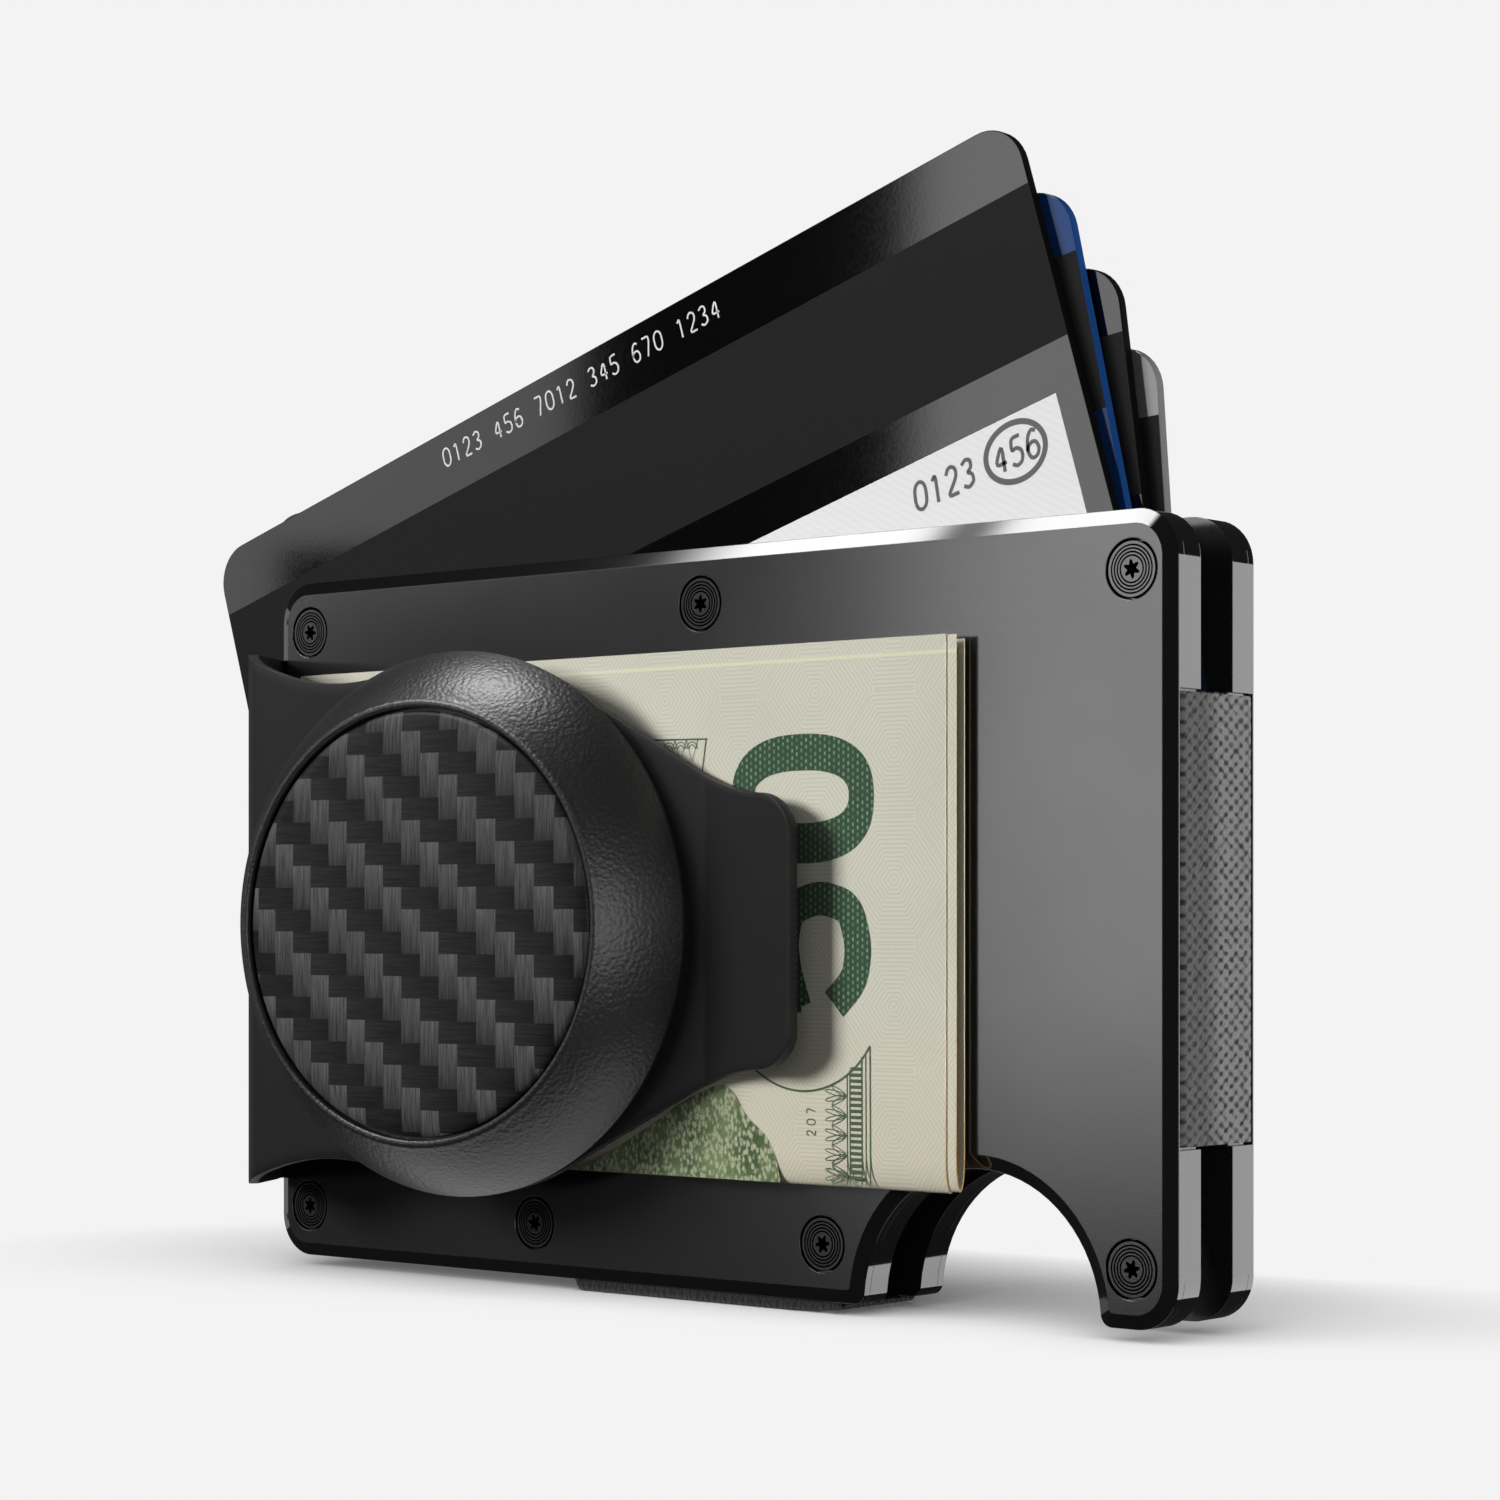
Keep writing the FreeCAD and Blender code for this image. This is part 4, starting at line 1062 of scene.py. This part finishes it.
def inner_leaves():
    """The leaves that fill the fold, just inside its edges, painted darker as painted shade."""
    front, back = NOTE_FRONT_Y + 0.3, NOTE_FACE_Y - 0.3
    shape = Shape()
    low, high = NOTE_BOTTOM + 1.3, NOTE_TOP - 0.9
    levels = [low + (high - low) * k / 20 for k in range(21)]
    for leaf in range(3):
        leaf_front = front + (back - front) * leaf / 3
        leaf_back = front + (back - front) * (leaf + 0.92) / 3
        right = NOTE_RIGHT - (0.5, 0.3, 0.42)[leaf]
        shape.slab([[(NOTE_LEFT + 0.4, leaf_front, z), (right, leaf_front, z)] for z in levels],
                   [[(NOTE_LEFT + 0.4, leaf_back, z), (right, leaf_back, z)] for z in levels])
    return shape.make("note_1_leaves", [LEAVES], crisp=50)


settle(folded_note("note_3", 0, 0.0, 0.8), "notes", "note_paper", "banknote_3")
settle(folded_note("note_2", 1, 0.05, 0.0), "notes", "note_paper", "banknote_2")
settle(inner_leaves(), "notes", "note_paper", "banknote_1")


def note_print():
    """Generic print on the front note: a large number on its side, a border and a leafy patch."""
    layers = iter(range(10000))

    def place(x, z):
        """Each point lies a hair higher than the last, so that crossing lines don't share a plane."""
        return Vector((x, NOTE_FRONT_Y - PRINT_LIFT - 0.000002 * next(layers), z))

    figures = Shape()
    # a nought lying on its side, its ring drawn between two rounded outlines
    outer = [(12.8 + 6.45 * squircle(math.cos, k), 36.37 + 4.55 * squircle(math.sin, k)) for k in range(72)]
    inner = [(12.75 + 4.3 * squircle(math.cos, k), 36.5 + 1.85 * squircle(math.sin, k)) for k in range(72)]
    outer.append(outer[0])
    inner.append(inner[0])
    rows = [[a, b] for a, b in zip(outer, inner)]
    figures.skin([[place(*p) for p in row] for row in rows], flats=rows)
    large_five(figures, place)
    settle(figures.make("note_figures", [INK]), "notes", "note_paper")

    fine = Shape()
    centre, radius = circle_through((8.47, 17.31), (12.21, 15.85), (18.93, 19.13))
    start = math.atan2(17.5 - centre[1], 7.6 - centre[0])
    end = math.atan2(19.13 - centre[1], 18.93 - centre[0])
    sweep = [start + (end - start) * k / 40 for k in range(41)]
    ribbon(fine, [(centre[0] + radius * math.cos(a), centre[1] + radius * math.sin(a)) for a in sweep],
           0.16, place)
    ribbon(fine, [(18.93, 19.1), (18.98, 9.45)], 0.13, place)
    ribbon(fine, [(18.55, 18.7), (18.6, 9.45)], 0.10, place)
    for x in (17.15, 18.2):
        ribbon(fine, [(x, 17.4 if x < 18 else 18.35), (x + 0.05, 9.45)], 0.12, place)
    for k in range(19):
        z = 17.5 - 0.42 * k
        ribbon(fine, [(17.2, z), (18.2, z)], 0.24, place)
    for k in range(5):
        leaf_spray(fine, 16.85, 15.6 - 1.38 * k, place)
    ribbon(fine, [(16.9, 17.0), (16.95, 9.45)], 0.09, place)
    digits(fine, "207", 0.78, (12.75, 14.06), lambda a, b: place(14.06 - (b - 14.06), 12.7 + (a - 12.75)),
           0.09, 0.0, 2.0)
    lace_corner(fine, place)
    settle(fine.make("note_fine_print", [FINE_INK]), "notes", "note_paper")

    patch = Shape()
    rim = [(-9.0, 9.3), (-7.6, 9.6), (-1.4, 12.9), (2.0, 14.9), (5.4, 16.2), (6.6, 15.6), (7.7, 13.9),
           (9.7, 12.5), (10.5, 11.0), (10.85, 9.5)]
    rim = smooth_line(rim, 2)
    rows = []
    for x, z in rim:
        rows.append([(x, 9.3 + (z - 9.3) * k / 6) for k in range(7)])
    patch.skin([[place(*p) for p in row] for row in rows], flats=rows)
    settle(patch.make("note_patch", [FOLIAGE]), "notes", "note_paper")


def squircle(wave, step, power=0.8):
    value = wave(2 * math.pi * step / 72)
    return math.copysign(abs(value) ** power, value)


def large_five(shape, place):
    """The numeral 5 turned a quarter to the left, from a bar, a stem and a bowl."""
    weight, base, low = 2.35, 19.05, 21.35
    bar = [(9.0, 11.75), (0.35, 11.75)]
    stem = [(1.4, 10.57), (1.15, 6.2)]
    bowl = smooth_line([(0.3, 6.5), (2.6, 7.35), (4.8, 7.75), (7.3, 7.2), (8.15, 4.6), (7.4, 1.9),
                        (4.6, 1.1), (2.3, 1.5), (0.6, 3.3)], 3)
    for line in (bar, stem, bowl):
        ribbon(shape, [(base - b, low + a) for a, b in line], weight, place)


def leaf_spray(shape, x, z, place):
    """Two small curled leaves beside a border."""
    for side in (-1, 1):
        for reach, lift in ((1.9, 0.35), (1.3, 0.62)):
            loop = []
            for k in range(15):
                t = 2 * math.pi * k / 14
                a = (1 - math.cos(t)) / 2
                loop.append((x - reach * a, z + side * (lift * a + 0.16 * math.sin(t))))
            ribbon(shape, loop, 0.07, place)


def lace_corner(shape, place):
    """A scrap of lace border that shows above the clip."""
    ribbon(shape, [(-2.5, 40.95), (4.05, 40.86)], 0.12, place)
    ribbon(shape, [(3.95, 40.9), (3.55, 38.4)], 0.12, place)
    for x in (0.4, 1.5, 2.6):
        for radius in (0.28, 0.5):
            arc = [(x + radius * math.cos(math.radians(a)), 40.2 + radius * math.sin(math.radians(a)))
                   for a in range(0, 181, 20)]
            ribbon(shape, arc, 0.07, place)
        ribbon(shape, [(x - 0.55, 40.85), (x, 39.3), (x + 0.55, 40.85)], 0.07, place)


note_print()


# ---------------------------------------------------------------- stage, lights and camera
def look_along(direction):
    """Rotation that points a camera or lamp along a direction."""
    return Vector(direction).to_track_quat("-Z", "Y").to_euler()


def panel(name, place, towards, width, height, radiance, diffuse=True, glossy=True, fades=None):
    """A soft rectangular light of that radiance that the camera doesn't see.

    fades gives the share of the panel over which its left, right, low and high edge fade out.
    """
    lamp = bpy.data.lights.new(name, "AREA")
    lamp.shape = "RECTANGLE"
    lamp.size = width
    lamp.size_y = height
    lamp.energy = radiance * math.pi * width * height
    if fades:
        grade(lamp, fades)
    holder = bpy.data.objects.new(name, lamp)
    holder.location = place
    holder.rotation_euler = look_along(Vector(towards) - Vector(place))
    holder.visible_camera = False
    holder.visible_diffuse = diffuse
    holder.visible_glossy = glossy
    bpy.context.scene.collection.objects.link(holder)


def grade(lamp, fades):
    """Soft edges for a panel, from its own flat coordinates."""
    lamp.use_nodes = True
    glow = Nodes(lamp.node_tree)
    spot = glow.node("SeparateXYZ", {0: glow.node("NewGeometry").outputs["Parametric"]})
    level = None
    for number, share in enumerate(fades):
        if not share:
            continue
        far_side = number % 2
        edge = glow.node("MapRange", {"Value": spot.outputs[number // 2], "From Min": far_side,
                                      "From Max": 1 - share if far_side else share},
                         interpolation_type="SMOOTHSTEP").outputs[0]
        level = edge if level is None else glow.times(level, edge)
    glow.plug(glow.tree.nodes["Emission"].inputs["Strength"], level)


def mirror_panel(name, sides, lifts, radiance, fades=None, distance=1.05):
    """A light for reflections only, where the wallet's face mirrors the camera's view.

    sides are metres to the right of that view's middle, and lifts are degrees above level.
    """
    eye = Vector((0.1675, 0.185, 0.028))
    forward = Vector((-0.6451, -0.7641, 0.0))
    right = Vector((0.7641, -0.6451, 0.0))
    low, high = [distance * math.tan(math.radians(lift)) for lift in lifts]
    middle = eye + forward * distance + right * sum(sides) / 2 + UP * (low + high) / 2
    panel(name, middle, middle - forward, sides[1] - sides[0], high - low, radiance,
          diffuse=False, fades=fades)


AMBIENCE = 0.03
FLOOR_REACH = 3.0
BACKDROP = 0.896              # brightness of the pale ground behind the wallet


def build_stage():
    scene = bpy.context.scene
    scene.view_settings.view_transform = "Standard"
    world = bpy.data.worlds.new("studio")
    scene.world = world
    world.use_nodes = True
    sky = Nodes(world.node_tree)
    sky.plug(sky.tree.nodes["Background"].inputs["Color"], (1, 1, 1, 1))
    sky.plug(sky.tree.nodes["Background"].inputs["Strength"], AMBIENCE)
    backdrop = sky.node("Background", {"Color": (1, 1, 1, 1), "Strength": BACKDROP})
    sky.camera_sees(sky.tree.nodes["Background"], backdrop, sky.tree.nodes["World Output"])

    # floor: as pale as the backdrop, darkened only close to the wallet
    mesh = bpy.data.meshes.new("floor")
    mesh.from_pydata([(x * FLOOR_REACH, y * FLOOR_REACH, 0) for x, y in ((-1, -1), (1, -1), (1, 1), (-1, 1))],
                     [], [(0, 1, 2, 3)])
    floor = bpy.data.objects.new("floor", mesh)
    scene.collection.objects.link(floor)
    material = bpy.data.materials.new("floor")
    material.use_nodes = True
    ground = Nodes(material.node_tree)
    ground.tree.nodes.remove(ground.tree.nodes["Principled BSDF"])
    shades = []
    # a faint contact shadow all round, and a soft one thrown backwards
    for reach, facing, darkest, floor_value in ((0.008, (0.0, 0.0, 1.0), 0.0, 0.7),
                                                (0.036, (0.4, -0.88, 0.22), 0.5, 0.15)):
        normal = ground.node("CombineXYZ", dict(enumerate(facing))).outputs[0]
        open_sky = ground.node("AmbientOcclusion", {"Distance": reach, "Normal": normal}, samples=32)
        shades.append(ground.ramp(open_sky.outputs["AO"], darkest, 1.0, floor_value, 1.0))
    strength = ground.times(ground.times(*shades), BACKDROP)
    glow = ground.node("Emission", {"Strength": strength})
    dark = ground.node("BsdfDiffuse", {"Color": (0.03, 0.03, 0.03, 1)})
    ground.camera_sees(dark, glow, ground.tree.nodes["Material Output"])
    mesh.materials.append(material)
    floor.visible_glossy = False
    floor.visible_shadow = False

    centre = Vector((0.0, 0.0, 0.03))
    mirror_panel("right_glow", (0.036, 0.2), (-7.5, 18), 3.2, (0.12, 0.1, 0.28, 0.0))
    mirror_panel("left_glow", (-0.147, -0.05), (5.9, 20), 1.6, (0.0, 0.15, 0.03, 0.0))
    mirror_panel("far_left_glow", (-0.3, -0.147), (3.0, 20), 1.5, (0.0, 0.0, 0.08, 0.0))
    left_side = Vector((-0.97, -0.06, 0.0)) * 0.9
    panel("left_side", centre + left_side, centre, 0.3, 0.4, 0.5, diffuse=False)
    mirror_panel("top_left", (-0.262, -0.177), (26, 48), 13.0, (0.36, 0.06, 0.1, 0.1))
    mirror_panel("top", (-0.165, 0.5), (26, 48), 13.0, (0.012, 0.3, 0.1, 0.1))
    overhead = Vector((-0.3, -0.05, 0.95)) * 0.8
    panel("overhead", centre + overhead, centre, 0.34, 0.34, 21.0, diffuse=False, fades=(0.3, 0.3, 0.3, 0.3))
    below = Vector((-0.1, 0.17, -0.6))
    panel("below", below, below + UP, 1.3, 0.76, 1.25, diffuse=False)
    side = Vector((0.645, 0.764, 0.0)) * 0.7
    panel("end_face", centre + side - UP * 0.115, centre - UP * 0.115, 0.55, 0.45, 2.7)
    beside_camera = Vector((0.743, -0.669, 0.0)) * 0.62
    panel("front_glow", centre + beside_camera, centre, 0.54, 0.3, 3.4, diffuse=False)
    key = Vector((-0.64, -0.70, 0.33)) * 1.1
    panel("key", centre + key, centre, 0.35, 0.35, 34.0, glossy=False)
    right_key = Vector((1.0, -0.06, 0.12)) * 0.9
    panel("right_key", centre + right_key, centre, 0.3, 0.3, 20.0, glossy=False)
    fill = Vector((0.35, -0.9, 0.35)) * 1.3
    panel("fill", centre + fill, centre, 1.0, 1.0, 0.3, glossy=False)
    panel("back_soft", centre + Vector((-0.15, 1.0, 0.06)), centre, 0.9, 0.4, 2.0)
    panel("back_fill", centre + Vector((0.0, 1.2, 0.5)), centre, 1.0, 1.0, 2.2, glossy=False)

    camera = bpy.data.cameras.new("camera")
    camera.lens = 83.36
    camera.sensor_width = 36.0
    camera.shift_y = 0.1126
    camera.clip_start = 0.01
    holder = bpy.data.objects.new("camera", camera)
    holder.location = (0.16752, -0.19532, 0.02792)
    holder.rotation_euler = look_along((-0.6451, 0.7641, 0.0))
    scene.collection.objects.link(holder)
    scene.camera = holder


build_stage()
